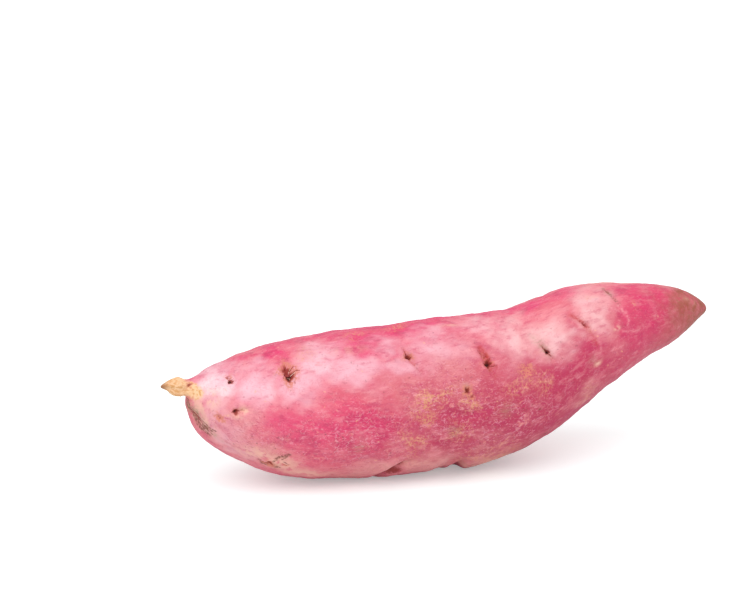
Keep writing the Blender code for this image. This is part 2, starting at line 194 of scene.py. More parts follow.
# Eyes and furrows of the side that faces away, by the same rule as in the solid.
BACK_ROWS = (207.0, 246.0, 286.0, 324.0)
BACK_FIRST_EYE = 23.3
BACK_ROW_SHIFT = 9.5
BACK_EYE_GAP = (24.0, 37.0)
BACK_LAST_EYE = 173.3
BACK_EYE_SCATTER = 7.0
BACK_EYE_RADIUS = (0.9, 1.7)
BACK_EYE_DEPTH = (0.6, 1.7)
BACK_EYE_RIM = 0.3
BACK_EYE_DARK = (0.35, 0.55)      # least, and how much darker at most
BACK_EYE_CORKY = (0.35, 0.60)
BACK_EYE_CYCLES = (7.3, 9.1)      # how fast these two change with the depth and the radius of an eye
BACK_FURROW_SHARE = 0.55
BACK_FURROW_HALF_LENGTH = (4.0, 9.0)
BACK_FURROW_LEAN = 2.0
BACK_FURROW = (1.2, 0.7, 0.2)     # half width, depth, lip (mm)
BACK_FURROW_LOOK = (0.25, 0.3)
BACK_SEED = 11

STUB_LENGTH = 10.5
NECK_AT = 8.2              # where the cream stub ends and the skin starts (mm)
NECK_LEAN = 3.6            # how much further down the cream reaches in a wedge on the front (mm)
NECK_LEAN_AT = 92.0
NECK_LEAN_WIDTH = 42.0
NECK_SHARPNESS = 1.0
STUB_RIDGES = 5
STUB_RIDGE_HEIGHT = 0.28
STUB_RIDGE_TWIST = 0.2     # radians per mm

# Patches of colour: along (mm), round (degrees), half length, half width (mm), strength.
# The dark red patches of painted shade lie round the folds and along the lowest line of the body, and those
# named busy are where the dry skin shows its fine lines and flecks most.
PATCHES = {
    "ochre": (
        (83, 80, 2.4, 2.2, 1), (85.4, 75, 2.4, 1.8, 1), (89.2, 70, 2.6, 1.6, 0.8), (81.8, 87, 1.4, 1.8, 0.7),
        # On the stub, the ochre at 130 and 140 degrees is partly painted shade on its lower side.
        (5, 60, 2.2, 1, 0.9), (3.6, 130, 2.4, 2.4, 0.9), (8, 140, 2, 2, 0.9), (6.6, 96, 1.6, 1.4, 0.5),
        (97.4, 78, 2, 2.2, 0.9), (78.5, 109, 3, 3, 0.6), (92.9, 101, 2, 1.6, 0.6), (119.3, 72, 3, 2, 0.6),
        (116, 80, 2.4, 1.8, 0.5), (111.3, 82, 3, 2, 0.35), (124, 84, 3, 2, 0.45), (64.5, 7, 5, 1.4, 0.8),
        (80.7, 0, 6, 1.4, 0.8), (46, 20, 4, 3, 0.35), (99, 131, 5, 2.4, 0.6), (107, 137, 6, 2.8, 0.8),
        (136, 121, 4, 1.6, 0.5), (163.8, 46, 1.2, 1, 0.8), (151.6, 26, 1.2, 1, 0.7), (63.3, 250, 8, 6, 0.5),
        (113.3, 300, 9, 6, 0.5), (141.3, 230, 7, 6, 0.5), (35.3, 260, 6, 5, 0.4), (150, 196, 6, 4, 0.6),
        (90, 196, 8, 4, 0.6), (21, 226, 4, 5, 0.5), (98, 336, 9, 3, 0.5),
    ),
    "cream": (
        (13.6, 92, 3, 2.6, 0.9), (12.8, 126, 2.4, 3.6, 0.8), (16.4, 132, 3.4, 2.4, 0.7),
        (33, 128, 5, 2.4, 0.8), (38.6, 131, 6, 4, 0.9), (30, 134, 3.5, 3, 0.6), (46, 141, 7, 2.6, 0.8),
        (24.8, 84, 2.4, 1.3, 0.9), (23.4, 93, 2, 0.8, 0.5), (104, 146, 9, 3, 0.8), (89.8, 163, 5, 2, 0.6),
        (61.3, 25, 6, 2, 0.3), (80, 128, 6, 2, 0.4), (154.2, 72, 1.2, 0.7, 1), (143.7, 97, 1.3, 0.7, 0.9),
        (98.6, 11, 3.2, 0.5, 0.8), (140.9, 3, 1, 0.8, 0.8), (163, 350, 9, 3, 0.7), (185, 48, 2.4, 1.4, 0.6),
        (187.6, 58, 2.2, 1.4, 0.65), (81.3, 210, 9, 7, 0.5), (131.3, 265, 8, 5, 0.4), (52, 300, 7, 4, 0.4),
    ),
    "netted": (
        (85, 77, 4, 3.4, 1), (89, 70, 3, 2.5, 0.8), (98, 80, 3, 3.4, 0.8), (79, 110, 5, 4, 0.8),
        (93, 102, 4, 3, 0.5), (116, 78, 6, 3.4, 0.6), (124, 84, 4, 3, 0.5), (104, 126, 7, 4, 0.5),
        (34, 122, 9, 5, 0.3), (46, 28, 6, 4, 0.25), (63, 250, 12, 9, 0.6), (113, 300, 12, 9, 0.6),
        (141, 230, 10, 8, 0.6), (35, 260, 9, 8, 0.5), (90, 200, 12, 7, 0.6), (152, 196, 8, 5, 0.6),
    ),
    "green": (
        (11.4, 160, 2, 2.2, 1), (13.4, 149, 2.6, 2.4, 1), (16.4, 141, 2.8, 1.8, 0.9),
        (19.6, 136, 2.8, 1, 0.6), (130.1, 56, 1.6, 3.6, 0.6), (128.9, 46, 1.2, 2.4, 0.35),
        (79.9, 38, 1.2, 1.6, 0.5), (96.9, 71, 1.4, 2, 0.7), (37, 136, 2.4, 1.2, 0.45),
        (91.7, 101, 1.8, 1.8, 0.7), (61.1, 108, 2.6, 2, 0.4), (109, 92, 3, 2.2, 0.4),
        (143, 92, 2.4, 1.6, 0.35), (157.2, 24, 1.2, 3, 0.5), (181, 56, 4, 3, 0.4), (185.5, 82, 3, 3, 0.4),
        (101.3, 255, 5, 4, 0.5), (47, 235, 4, 3, 0.7), (120, 216, 4, 3, 0.6), (77, 330, 4, 3, 0.5),
        (160, 250, 3, 3, 0.6),
    ),
    # Vivid pink patches: blotches of the skin's own colour, and along the top edge painted shade that makes
    # the edge darker and more saturated.
    "hot_and_edge_shade": (
        (80, 4, 6, 2.4, 0.9), (90, 5, 7, 2.2, 1), (146, 9, 6, 3, 1), (137, 6, 6, 3, 1), (31, 2, 9, 4, 1),
        (24, 8, 5, 3, 0.7), (34, 10, 5, 3, 0.9), (50, -8, 20, 4, 1), (66, 13, 9, 4, 0.9), (78, 9, 6, 3, 0.9),
        (76, -12, 26, 4, 1), (104, -12, 20, 4, 1), (127, -4, 14, 5, 1), (137, 2, 9, 4, 1), (147, -2, 7, 4, 1),
        (66, 28, 8, 4, 0.5), (37.3, 92, 9, 5, 0.8), (61.3, 92, 18, 7, 0.9), (79.3, 100, 9, 7, 0.5),
        (129, 84, 7, 6, 1), (136, 88, 7, 6, 1), (145, 84, 5, 5, 1), (129, 96, 7, 5, 0.7),
        (109.3, 110, 12, 7, 0.5), (148, 72, 3, 5, 0.8), (159, 68, 5, 8, 0.9), (168, 50, 9, 8, 0.9),
        (170, 20, 8, 7, 0.8), (85.3, 290, 20, 12, 0.6), (130, 232, 16, 9, 0.8), (40, 212, 12, 8, 0.7),
        (160, 300, 12, 8, 0.8),
    ),
    # Pale patches: partly the skin's own pale bloom, partly a painted sheen on the upper front.
    "pale": (
        (15, 40, 6, 8, 1), (13, 10, 5, 6, 0.9), (24, 142, 9, 2.6, 0.6), (26, 52, 8, 8, 1),
        (29, 22, 4, 3, 0.7), (42, 52, 9, 6, 0.9), (50, 34, 10, 7, 1), (52, 17, 10, 4, 0.7),
        (62, 44, 12, 5, 0.9), (16, 100, 6, 8, 0.5), (22, 124, 8, 6, 0.55), (74, 24, 6, 4, 0.7),
        (76, 44, 8, 3.6, 0.7), (90, 34, 11, 6, 0.8), (90, 17, 8, 4, 0.7), (112, 15, 11, 6, 0.9),
        (120.3, 38, 8, 8, 1), (133, 48, 8, 7, 1), (139, 60, 4, 4, 0.8), (124, 18, 9, 5, 0.8),
        (148.5, 50, 4, 7, 0.9), (151, 28, 6, 7, 0.75), (152, 10, 7, 4, 0.6), (61.3, 310, 14, 9, 0.5),
        (128, 316, 14, 9, 0.5),
    ),
    # Frost-pale patches by the stub: pale bloom with a painted highlight over it.
    "frost_and_sheen": (
        (12.4, 52, 3.4, 5, 1), (15.5, 70, 3.2, 3, 0.9), (21, 62, 4, 2.4, 0.35), (31, 56, 4, 2.6, 0.25),
        (50, 38, 6, 2, 0.2), (136.5, 59, 5, 2, 0.3), (151, 34, 3, 2, 0.25),
    ),
    "dusty": (
        (14, 84, 5, 5, 0.6), (24, 106, 9, 6, 0.9), (33, 120, 10, 6, 0.8), (25, 140, 12, 5, 0.9),
        (47, 140, 12, 6, 0.8), (70, 134, 16, 7, 0.9), (62, 146, 12, 5, 0.9), (86, 138, 8, 7, 1),
        (101.5, 112, 5, 3, 0.5), (104, 138, 9, 6, 0.7), (80, 66, 8, 6, 0.6), (96, 56, 9, 7, 0.6),
        (151, 70, 5, 4, 0.3), (136, 122, 6, 3, 0.9), (30, 190, 14, 9, 0.6), (96, 226, 16, 10, 0.7),
        (46, 330, 12, 8, 0.6), (122, 190, 16, 8, 0.7),
    ),
    # Painted shade: darker red round the fold and along the lowest line of the body.
    "painted_shade": (
        (74.6, 141, 5, 2.2, 1), (78, 136, 4, 1.6, 0.9), (64, 156, 12, 3, 0.7), (92, 152, 9, 3, 0.7),
        (98, 146, 5, 2.2, 0.8), (108, 147, 9, 2.6, 0.8), (122, 142, 9, 2.6, 0.8), (138, 134, 10, 2.6, 0.8),
        (153, 127, 9, 2.6, 0.7), (168, 124, 9, 2.6, 0.6), (182, 124, 8, 2.6, 0.6),
    ),
    "busy": (
        (92, 84, 20, 16, 1), (108, 106, 22, 14, 1), (58, 100, 24, 13, 1), (30, 116, 14, 9, 0.9),
        (88, 60, 16, 6, 0.6), (100, 225, 50, 24, 0.7), (60, 300, 30, 14, 0.5),
    ),
}
EVEN_EDGED = ("cream", "green", "painted_shade")    # the patches whose edges aren't made ragged
BUSY_LEAST = 0.30
CREAM_OVER_TAN = 0.8
LOW_SIDE = (120.0, 0.15)          # where round the root the painted shade of the low side lies, and how far past half of it
PAINTED_SHADE_START = (50.0, 40.0)         # where it starts along the root, and how slowly (mm)
PAINTED_SHADE_FADE = (135.0, 25.0, 0.5)    # where it fades on the tail, how slowly (mm), and by how much
WARM_START = (85.0, 40.0)
STUB_TIP_REACH = 1.8
TAIL_TIP_REACH = 9.0
TAIL_TAN = (0.85, 9.0, 14.0)      # how strong the tan behind the tip is, where and how long (mm)
TAIL_TAN_SIDE = (1.5, 0.3)        # where round the tail it lies (radians), and how far past half of it

# The mesh of the skin.
CAGE_SIDES = 26
STUB_RINGS = (0.4, 1.3, 2.8, 4.6, 6.6, 8.8, 11.4, 14.6)
RING_STEP = 5.4
TAIL_GAP = 0.6             # from the even rings to those of the tail, as a share of a step
TAIL_RINGS = (8.0, 4.6, 2.2, 0.7)          # back from the tail's tip
SKIN_LEVELS = 3
RING_PICK = 0.01           # how near the first ring a point lies that belongs to it (mm)
# Finer faces round these marks: along (mm), round (degrees), reach (mm).
FINE_PLACES = (
    (40, 41, 4.2), (106.4, 50, 4), (130.6, 60, 3.2), (74, 138, 4.4), (13.6, 154, 3.4), (17.6, 143, 3.4),
    (37.6, 130, 3.8), (80.2, 38, 2.6), (18, 43, 2.3), (97.6, 73, 2.4), (22.4, 89, 2.4), (18.8, 107, 1.8),
    (144.6, 52, 2.6),
)
REFINE_MARGINS = (0.9, 0.0)                # of the first and the second refinement, past the reach (mm)

# Fine wrinkles: height (mm), wave along and wave round (mm), phase.
WRINKLES = (
    (0.026, 3.7, 23, 0.4), (0.022, 2.3, 17, 1.9), (0.03, 9.1, 2.9, 3.3),
)
WRINKLE_BEND = 1.3         # radians

# Slow waves that make the edges of the patches ragged: reach, wave and cross wave (mm), phase.
RAGGED_WAVES = (
    (1.5, 17, 23, 0.7), (0.9, 7.9, -11.3, 2.9), (0.5, 4.1, 5.3, 5.1),
)
RAGGED_LEAST_RADIUS = 6.0

# Hairs: start (along, round), then the lie of the hair as steps (x, y, z) in mm from the skin.
ROOT_HAIRS = (
    (3.4, 178, (
        (-0.4, 0, -0.5), (-1.2, -0.1, -1.3), (-2.4, -0.2, -2), (-3.8, -0.3, -2.4), (-5, -0.3, -2.5),
    )),
    (6.8, 186, (
        (0.1, 0.2, -0.8), (-0.3, 0.5, -1.7), (-1, 1, -2.4),
    )),
    (39.4, 44, (
        (0.3, -0.3, 0.3), (0.9, -0.5, 0.9), (1.7, -0.3, 1.4), (2.3, 0, 1.5),
    )),
    (38.8, 40, (
        (0, -0.5, 0.4), (0.2, -0.7, 1), (0.7, -0.6, 1.7),
    )),
    (39, 47, (
        (-0.2, -0.5, 0.1), (-0.8, -0.8, 0.4), (-1.3, -0.8, 0.3),
    )),
    (36.8, 262, (
        (0.2, 1, -0.1), (1, 1.9, -0.8), (2.2, 2.3, -1.9),
    )),
    (92, 250, (
        (-0.3, 1, -0.4), (-1.3, 1.7, -1.4), (-2.8, 1.9, -2),
    )),
)
HAIR_ROOT_DEPTH = 0.8
HAIR_RADIUS = 0.12
HAIR_SIDES = 6
HAIR_TAPER = 0.8
HAIR_LEVELS = 2

# Floor and light.
FLOOR_SIZE = 12.0          # metres
FLOOR_ROUGHNESS = 0.9
FLOOR_SPECULAR = 0.1
FLOOR_COLOUR = (0.80, 0.89, 0.885, 1.0)
FLOOR_GLOW_COLOUR = (1.0, 0.995, 0.99, 1.0)
FLOOR_GLOW = 0.04
FLOOR_GLOW_SEEN = 0.28     # what the camera sees on top of that
STUDIO_WHITE = (1.0, 1.0, 1.0, 1.0)
STUDIO_STRENGTH = 0.80
KEY_TURN = (30.0, -13.0, 0.0)
KEY_ENERGY = 1.40
KEY_ANGLE = 70.0

# View of the photograph.
VIEW_TURN = -16.0
VIEW_HEIGHT = 14.0
VIEW_DISTANCE = 0.5649
VIEW_TARGET = (-0.02592, 0.0, 0.05785)
LENS = 85.0


def natural_spline(knots, values, at):
    """A smooth curve through the values at the knots, read at the places asked for."""
    count = len(knots)
    gaps = np.diff(knots)
    slopes = np.diff(values) / gaps
    matrix = np.eye(count)
    wanted = np.zeros(count)
    for i in range(1, count - 1):
        matrix[i, i - 1] = gaps[i - 1]
        matrix[i, i] = 2.0 * (gaps[i - 1] + gaps[i])
        matrix[i, i + 1] = gaps[i]
        wanted[i] = 6.0 * (slopes[i] - slopes[i - 1])
    bend = np.linalg.solve(matrix, wanted)
    i = np.clip(np.searchsorted(knots, at) - 1, 0, count - 2)
    before = at - knots[i]
    after = knots[i + 1] - at
    gap = gaps[i]
    cubic = (bend[i] * after**3 + bend[i + 1] * before**3) / (6.0 * gap)
    start = (values[i] / gap - bend[i] * gap / 6.0) * after
    end = (values[i + 1] / gap - bend[i + 1] * gap / 6.0) * before
    return cubic + start + end


class Axis:
    """The curved axis of the root, with the body's radius along it, measured in mm from the stub."""

    def __init__(self, stations):
        table = np.array(stations)
        self.centres = table[:, :3]
        self.squares = table[:, 3] ** 2
        steps = np.linalg.norm(np.diff(self.centres, axis=0), axis=1)
        self.knots = np.concatenate([[0.0], np.cumsum(steps)])
        self.length = float(self.knots[-1])

    def centre(self, along):
        columns = [natural_spline(self.knots, column, along) for column in self.centres.T]
        return np.stack(columns, axis=-1)

    def radius(self, along):
        return np.sqrt(np.maximum(natural_spline(self.knots, self.squares, along), 0.0))

    def section_frame(self, along):
        """The two directions of each ring: up, and sideways towards the front."""
        ahead = self.centre(np.minimum(along + AXIS_PROBE, self.length))
        behind = self.centre(np.maximum(along - AXIS_PROBE, 0.0))
        tangent = ahead - behind
        tangent /= np.linalg.norm(tangent, axis=-1, keepdims=True)
        side = np.cross(tangent, (0.0, 0.0, 1.0))
        side /= np.linalg.norm(side, axis=-1, keepdims=True)
        return np.cross(side, tangent), side


AXIS = Axis(STATIONS)


def radius_at(along):
    return float(AXIS.radius(np.array(float(along))))


def bell(distance, width):
    return np.exp(-((distance / width) ** 2))


def turn_between(around, other):
    return (around - other + math.pi) % (2.0 * math.pi) - math.pi


def girth_from(along_of_mark, around, turn):
    """Distance round the skin from a mark, in mm."""
    return radius_at(along_of_mark) * turn_between(around, math.radians(turn))


def patches(marks, along, around):
    total = np.zeros_like(along)
    for at, turn, half_length, half_width, strength in marks:
        girth = girth_from(at, around, turn)
        total = np.maximum(total, strength * bell(along - at, half_length) * bell(girth, half_width))
    return total


def along_path(path, along, around):
    """Shortest distance over the skin to a path (mm), and the share of the path there."""
    nearest = np.full_like(along, np.inf)
    place = np.zeros_like(along)
    for i, ((start, start_turn), (end, end_turn)) in enumerate(zip(path, path[1:])):
        girth = radius_at((start + end) / 2.0)
        run = np.array([end - start, girth * math.radians(end_turn - start_turn)])
        x = along - start
        y = girth * turn_between(around, math.radians(start_turn))
        share = np.clip((x * run[0] + y * run[1]) / (run @ run), 0.0, 1.0)
        distance = np.hypot(x - share * run[0], y - share * run[1])
        place = np.where(distance < nearest, (i + share) / (len(path) - 1), place)
        nearest = np.minimum(nearest, distance)
    return nearest, place


def back_marks():
    """Eyes and furrows of the far side, in rows, drawn as in the solid."""
    pick = random.Random(BACK_SEED)
    eyes = []
    furrows = []
    for row, turn in enumerate(BACK_ROWS):
        at = BACK_FIRST_EYE + BACK_ROW_SHIFT * row
        while at < BACK_LAST_EYE:
            place = turn + pick.uniform(-BACK_EYE_SCATTER, BACK_EYE_SCATTER)
            radius = pick.uniform(*BACK_EYE_RADIUS)
            depth = pick.uniform(*BACK_EYE_DEPTH)
            eyes.append((at, place, radius, depth, BACK_EYE_RIM) + back_eye_look(radius, depth))
            if pick.random() < BACK_FURROW_SHARE:
                furrows.append(BACK_FURROW + BACK_FURROW_LOOK + (path_across(at, place, pick),))
            at += pick.uniform(*BACK_EYE_GAP)
    return eyes, furrows


def back_eye_look(radius, depth):
    """How dark, how corky and how torn an eye of the far side is: no two alike, but none by chance."""
    least_dark, more_dark = BACK_EYE_DARK
    least_corky, more_corky = BACK_EYE_CORKY
    depth_cycle, radius_cycle = BACK_EYE_CYCLES
    dark = least_dark + more_dark * (depth_cycle * depth % 1.0)
    corky = least_corky + more_corky * (radius_cycle * radius % 1.0)
    return dark, corky, 2 + int(10.0 * radius) % 3


def path_place(path, share):
    """The place at a share of the way along a path whose legs are taken as equal."""
    leg = min(int(share * (len(path) - 1)), len(path) - 2)
    rest = share * (len(path) - 1) - leg
    (start, start_turn), (end, end_turn) = path[leg], path[leg + 1]
    return start + rest * (end - start), start_turn + rest * (end_turn - start_turn)


def scar_lines():
    """The lines of the dry scar under the stub."""
    pick = random.Random(SCAR_SEED)
    first_width, last_width = SCAR_HALF_WIDTHS
    lines = []
    for _ in range(SCAR_LINES):
        length = pick.uniform(*SCAR_LINE_SHARES)
        start = pick.uniform(0.0, 1.0 - length) ** SCAR_CROWDING
        band = first_width + (last_width - first_width) * start
        shift = pick.uniform(-band, band)
        turn = math.degrees(pick.uniform(-band, band) / radius_at(SCAR_PATH[1][0]))
        path = []
        for share in (start, start + length):
            along, degrees = path_place(SCAR_PATH, share)
            path.append((along + SCAR_LEAN * shift, degrees + turn))
        lines.append((pick.uniform(*SCAR_LINE_HALF_WIDTH), pick.uniform(*SCAR_STRENGTH), tuple(path)))
    return lines


def path_across(at, place, pick):
    reach = math.degrees(pick.uniform(*BACK_FURROW_HALF_LENGTH) / radius_at(at))
    start = (at + pick.uniform(-BACK_FURROW_LEAN, BACK_FURROW_LEAN), place - reach)
    end = (at + pick.uniform(-BACK_FURROW_LEAN, BACK_FURROW_LEAN), place + reach)
    return start, (at, place), end


class Skin:
    """What every point of the skin is: its height above the plain body, and how much of each finish."""

    def __init__(self, along, around):
        self.along = along
        self.around = around
        self.radius = AXIS.radius(along)
        self.height = np.zeros_like(along)
        self.pit = np.zeros_like(along)
        self.cork = np.zeros_like(along)
        self.stain = np.zeros_like(along)
        self.rust = np.zeros_like(along)
        self.pale_line = np.zeros_like(along)

    def swell(self):
        for size, lobes, twist, phase in SWELLS:
            self.height += size * np.cos(lobes * self.around + twist * self.along + phase)
        for size, wave, phase, lean in GIRDLES:
            turn = 2.0 * math.pi * self.along / wave + phase + lean * np.cos(self.around)
            self.height += size * np.sin(turn)
        self.height *= np.minimum(self.radius / SWELL_FADE_RADIUS, 1.0) ** 2
        for at, turn, half_length, half_width, size in BULGES:
            girth = girth_from(at, self.around, turn)
            self.height += size * bell(self.along - at, half_length) * bell(girth, half_width)

    def wrinkle(self):
        fade = np.minimum(self.radius / SWELL_FADE_RADIUS, 1.0)
        girth = self.around * self.radius
        for size, wave, cross_wave, phase in WRINKLES:
            bend = WRINKLE_BEND * np.sin(2.0 * math.pi * girth / cross_wave + phase)
            self.height += size * fade * np.sin(2.0 * math.pi * self.along / wave + bend + phase)

    def eye(self, at, turn, radius, depth, rim, dark, corky, points):
        girth = girth_from(at, self.around, turn)
        distance = np.hypot(self.along - at, girth)
        direction = np.arctan2(girth, self.along - at)
        torn = 1.0 + EYE_POINT_SHARE * np.cos(points * direction + at)
        torn += EYE_FINE_POINT_SHARE * np.cos((points + EYE_FINE_POINTS) * direction - 2.0 * at)
        pit = bell(distance, radius * torn)
        self.height -= depth * pit
        self.height += rim * bell(distance - EYE_RIM_AT * radius, EYE_RIM_WIDTH * radius)
        dip = bell(self.along - at, EYE_DIP_ALONG) * bell(girth, EYE_DIP_ROUND)
        self.height -= EYE_DIP_SHARE * depth * dip
        self.pit = np.maximum(self.pit, dark * pit)
        ring = bell(distance, CORK_REACH * radius * torn)
        self.cork = np.maximum(self.cork, corky * ring)

    def furrow(self, half_width, depth, lip, dark, corky, path):
        distance, place = along_path(path, self.along, self.around)
        fullness = 1.0 - (2.0 * place - 1.0) ** 2
        end_width = FURROW_END_WIDTH + (1.0 - FURROW_END_WIDTH) * fullness
        cut = fullness * bell(distance, half_width * end_width)
        self.height -= depth * cut
        self.height += lip * fullness * bell(distance - FURROW_LIP_AT * half_width, half_width)
        self.pit = np.maximum(self.pit, dark * cut)
        ring = fullness * bell(distance, FURROW_CORK_REACH * half_width)
        self.cork = np.maximum(self.cork, corky * ring)

    def line(self, half_width, strength, path):
        distance, _ = along_path(path, self.along, self.around)
        return strength * bell(distance, half_width)

    def stub(self):
        ridges = STUB_RIDGE_HEIGHT * np.cos(STUB_RIDGES * self.around + STUB_RIDGE_TWIST * self.along)
        self.height += ridges * np.sin(math.pi * np.clip(self.along / STUB_LENGTH, 0.0, 1.0))

    def points(self):
        """Points of the skin in metres, in the object's own frame."""
        up, side = AXIS.section_frame(self.along)
        reach = np.maximum(self.radius + self.height, 0.0)[:, None]
        spoke = np.cos(self.around)[:, None] * up
        spoke += DEPTH_SHARE * np.sin(self.around)[:, None] * side
        place = AXIS.centre(self.along) + reach * spoke
        place[:, 2] = np.maximum(place[:, 2], 0.0)
        return place * MM


def deselect_all():
    if bpy.context.object and bpy.context.object.mode != "OBJECT":
        bpy.ops.object.mode_set(mode="OBJECT")
    bpy.ops.object.select_all(action="DESELECT")


def take_up(piece):
    deselect_all()
    piece.select_set(True)
    bpy.context.view_layer.objects.active = piece


def extrude_ring(start, end):
    """Draws the open ring on along the straight root, and gives it the width that the root has there."""
    bpy.ops.mesh.extrude_region_move(TRANSFORM_OT_translate={"value": ((end - start) * MM, 0.0, 0.0)})
    share = radius_at(end) / radius_at(start)
    bpy.ops.transform.resize(value=(1.0, share, share), center_override=(end * MM, 0.0, 0.0))


def close_tip(start, end):
    bpy.ops.mesh.extrude_region_move(TRANSFORM_OT_translate={"value": ((end - start) * MM, 0.0, 0.0)})
    bpy.ops.mesh.merge(type="CENTER")


def ring_places():
    length = AXIS.length
    middle_start = STUB_RINGS[-1] + RING_STEP
    middle_end = length - TAIL_RINGS[0] - TAIL_GAP * RING_STEP
    count = round((middle_end - middle_start) / RING_STEP) + 1
    middle = list(np.linspace(middle_start, middle_end, count))
    return list(STUB_RINGS) + middle + [length - back for back in TAIL_RINGS]


def straight_root():
    """The root as if it grew straight: one ring of edges drawn from the stub to the tail."""
    places = ring_places()
    deselect_all()
    bpy.ops.mesh.primitive_circle_add(
        vertices=CAGE_SIDES,
        radius=radius_at(places[0]) * MM,
        location=(places[0] * MM, 0.0, 0.0),
        rotation=(0.0, math.pi / 2.0, 0.0),
    )
    root = bpy.context.object
    root.name = "potato_skin"
    root.data.name = "potato_skin"
    bpy.ops.object.transform_apply(location=True, rotation=True, scale=True)
    bpy.ops.object.mode_set(mode="EDIT")
    bpy.ops.mesh.select_mode(type="VERT")
    bpy.ops.mesh.select_all(action="SELECT")
    for start, end in zip(places, places[1:]):
        extrude_ring(start, end)
    close_tip(places[-1], AXIS.length)
    bpy.ops.object.mode_set(mode="OBJECT")
    for vertex in root.data.vertices:
        vertex.select = vertex.co.x < (places[0] + RING_PICK) * MM
    for edge in root.data.edges:
        edge.select = all(root.data.vertices[i].select for i in edge.vertices)
    bpy.ops.object.mode_set(mode="EDIT")
    close_tip(places[0], 0.0)
    bpy.ops.mesh.select_all(action="SELECT")
    bpy.ops.mesh.normals_make_consistent(inside=False)
    bpy.ops.object.mode_set(mode="OBJECT")
    finer = root.modifiers.new("finer_skin", "SUBSURF")
    finer.subdivision_type = "SIMPLE"
    finer.levels = SKIN_LEVELS
    finer.render_levels = SKIN_LEVELS
    bpy.ops.object.modifier_apply(modifier=finer.name)
    return root


def vertex_array(mesh):
    flat = np.empty(len(mesh.vertices) * 3)
    mesh.vertices.foreach_get("co", flat)
    return flat.reshape(-1, 3)


def place_on_root(points):
    """How far along the straight root each point lies (mm), and its angle round it from the top."""
    along = np.clip(points[:, 0] / MM, 0.0, AXIS.length)
    around = np.arctan2(-points[:, 1], points[:, 2])
    return along, around


def refine_marks(root, margin):
    """Smaller faces where an eye is torn or a crack runs."""
    mesh = root.data
    centres = np.empty(len(mesh.polygons) * 3)
    mesh.polygons.foreach_get("center", centres)
    along, around = place_on_root(centres.reshape(-1, 3))
    near = np.zeros(len(along), bool)
    for at, turn, reach in FINE_PLACES:
        near |= np.hypot(along - at, girth_from(at, around, turn)) < reach + margin
    take_up(root)
    bpy.ops.object.mode_set(mode="EDIT")
    bpy.ops.mesh.select_mode(type="FACE")
    bpy.ops.mesh.select_all(action="DESELECT")
    bpy.ops.object.mode_set(mode="OBJECT")
    mesh.polygons.foreach_set("select", near)
    bpy.ops.object.mode_set(mode="EDIT")
    bpy.ops.mesh.subdivide(number_cuts=1, smoothness=0.0)
    bpy.ops.object.mode_set(mode="OBJECT")


def store(mesh, name, values):
    attribute = mesh.attributes.new(name, "FLOAT", "POINT")
    attribute.data.foreach_set("value", np.clip(values, 0.0, 1.0).astype(np.float32))


def store_straight(mesh, skin):
    """Where each point would lie if the root were straight and even: what the pattern follows."""
    girth = skin.radius
    place = np.stack([skin.along, -girth * np.sin(skin.around), girth * np.cos(skin.around)], axis=-1)
    attribute = mesh.attributes.new("straight", "FLOAT_VECTOR", "POINT")
    attribute.data.foreach_set("vector", (place * MM).astype(np.float32).ravel())


def make_skin():
    root = straight_root()
    for margin in REFINE_MARGINS:
        refine_marks(root, margin)
    mesh = root.data
    along, around = place_on_root(vertex_array(mesh))
    skin = Skin(along, around)
    skin.swell()
    back_eyes, back_furrows = back_marks()
    for eye in list(FRONT_EYES) + back_eyes:
        skin.eye(*eye)
    for furrow in list(FRONT_FURROWS) + back_furrows + list(CRACKS):
        skin.furrow(*furrow)
    for line in list(STAIN_LINES) + scar_lines():
        skin.stain = np.maximum(skin.stain, skin.line(*line))
    for line in RUSTY_LINES:
        skin.rust = np.maximum(skin.rust, skin.line(*line))
    for line in PALE_LINES:
        skin.pale_line = np.maximum(skin.pale_line, skin.line(*line))
    skin.stub()
    skin.wrinkle()
    mesh.vertices.foreach_set("co", skin.points().ravel())
    mesh.update()
    finish_fields(mesh, skin)
    take_up(root)
    bpy.ops.object.shade_smooth()
    return root


def ragged(skin):
    """The place of each point pushed about by slow waves, so that no patch has an even edge."""
    girth = skin.around * skin.radius
    along = skin.along.copy()
    turn = np.zeros_like(along)
    for size, wave, cross_wave, phase in RAGGED_WAVES:
        along += size * np.sin(2.0 * math.pi * (skin.along / wave + girth / cross_wave) + phase)
        turn += size * np.cos(2.0 * math.pi * (skin.along / cross_wave - girth / wave) + 2.0 * phase)
    return along, skin.around + turn / np.maximum(skin.radius, RAGGED_LEAST_RADIUS)


def rise(values, start, length):
    """From none at the start to all a length further on."""
    return np.clip((values - start) / length, 0.0, 1.0)


def side_facing(around, turn, more):
    return np.clip(np.cos(around - turn) + more, 0.0, 1.0)


def tail_tan(along, around):
    tail = AXIS.length - along
    strength, behind, length = TAIL_TAN
    belt = strength * bell(tail - behind, length) * side_facing(around, *TAIL_TAN_SIDE)
    return bell(tail, TAIL_TIP_REACH) + belt


# Painted shade: the low side of the root darker red, starting partway along and fading on the tail.
def painted_low_shade(along, around):
    turn, more = LOW_SIDE
    fade_at, fade_length, fade = PAINTED_SHADE_FADE
    painted_shade = rise(along, *PAINTED_SHADE_START) * (1.0 - fade * rise(along, fade_at, fade_length))
    return side_facing(around, math.radians(turn), more) * painted_shade


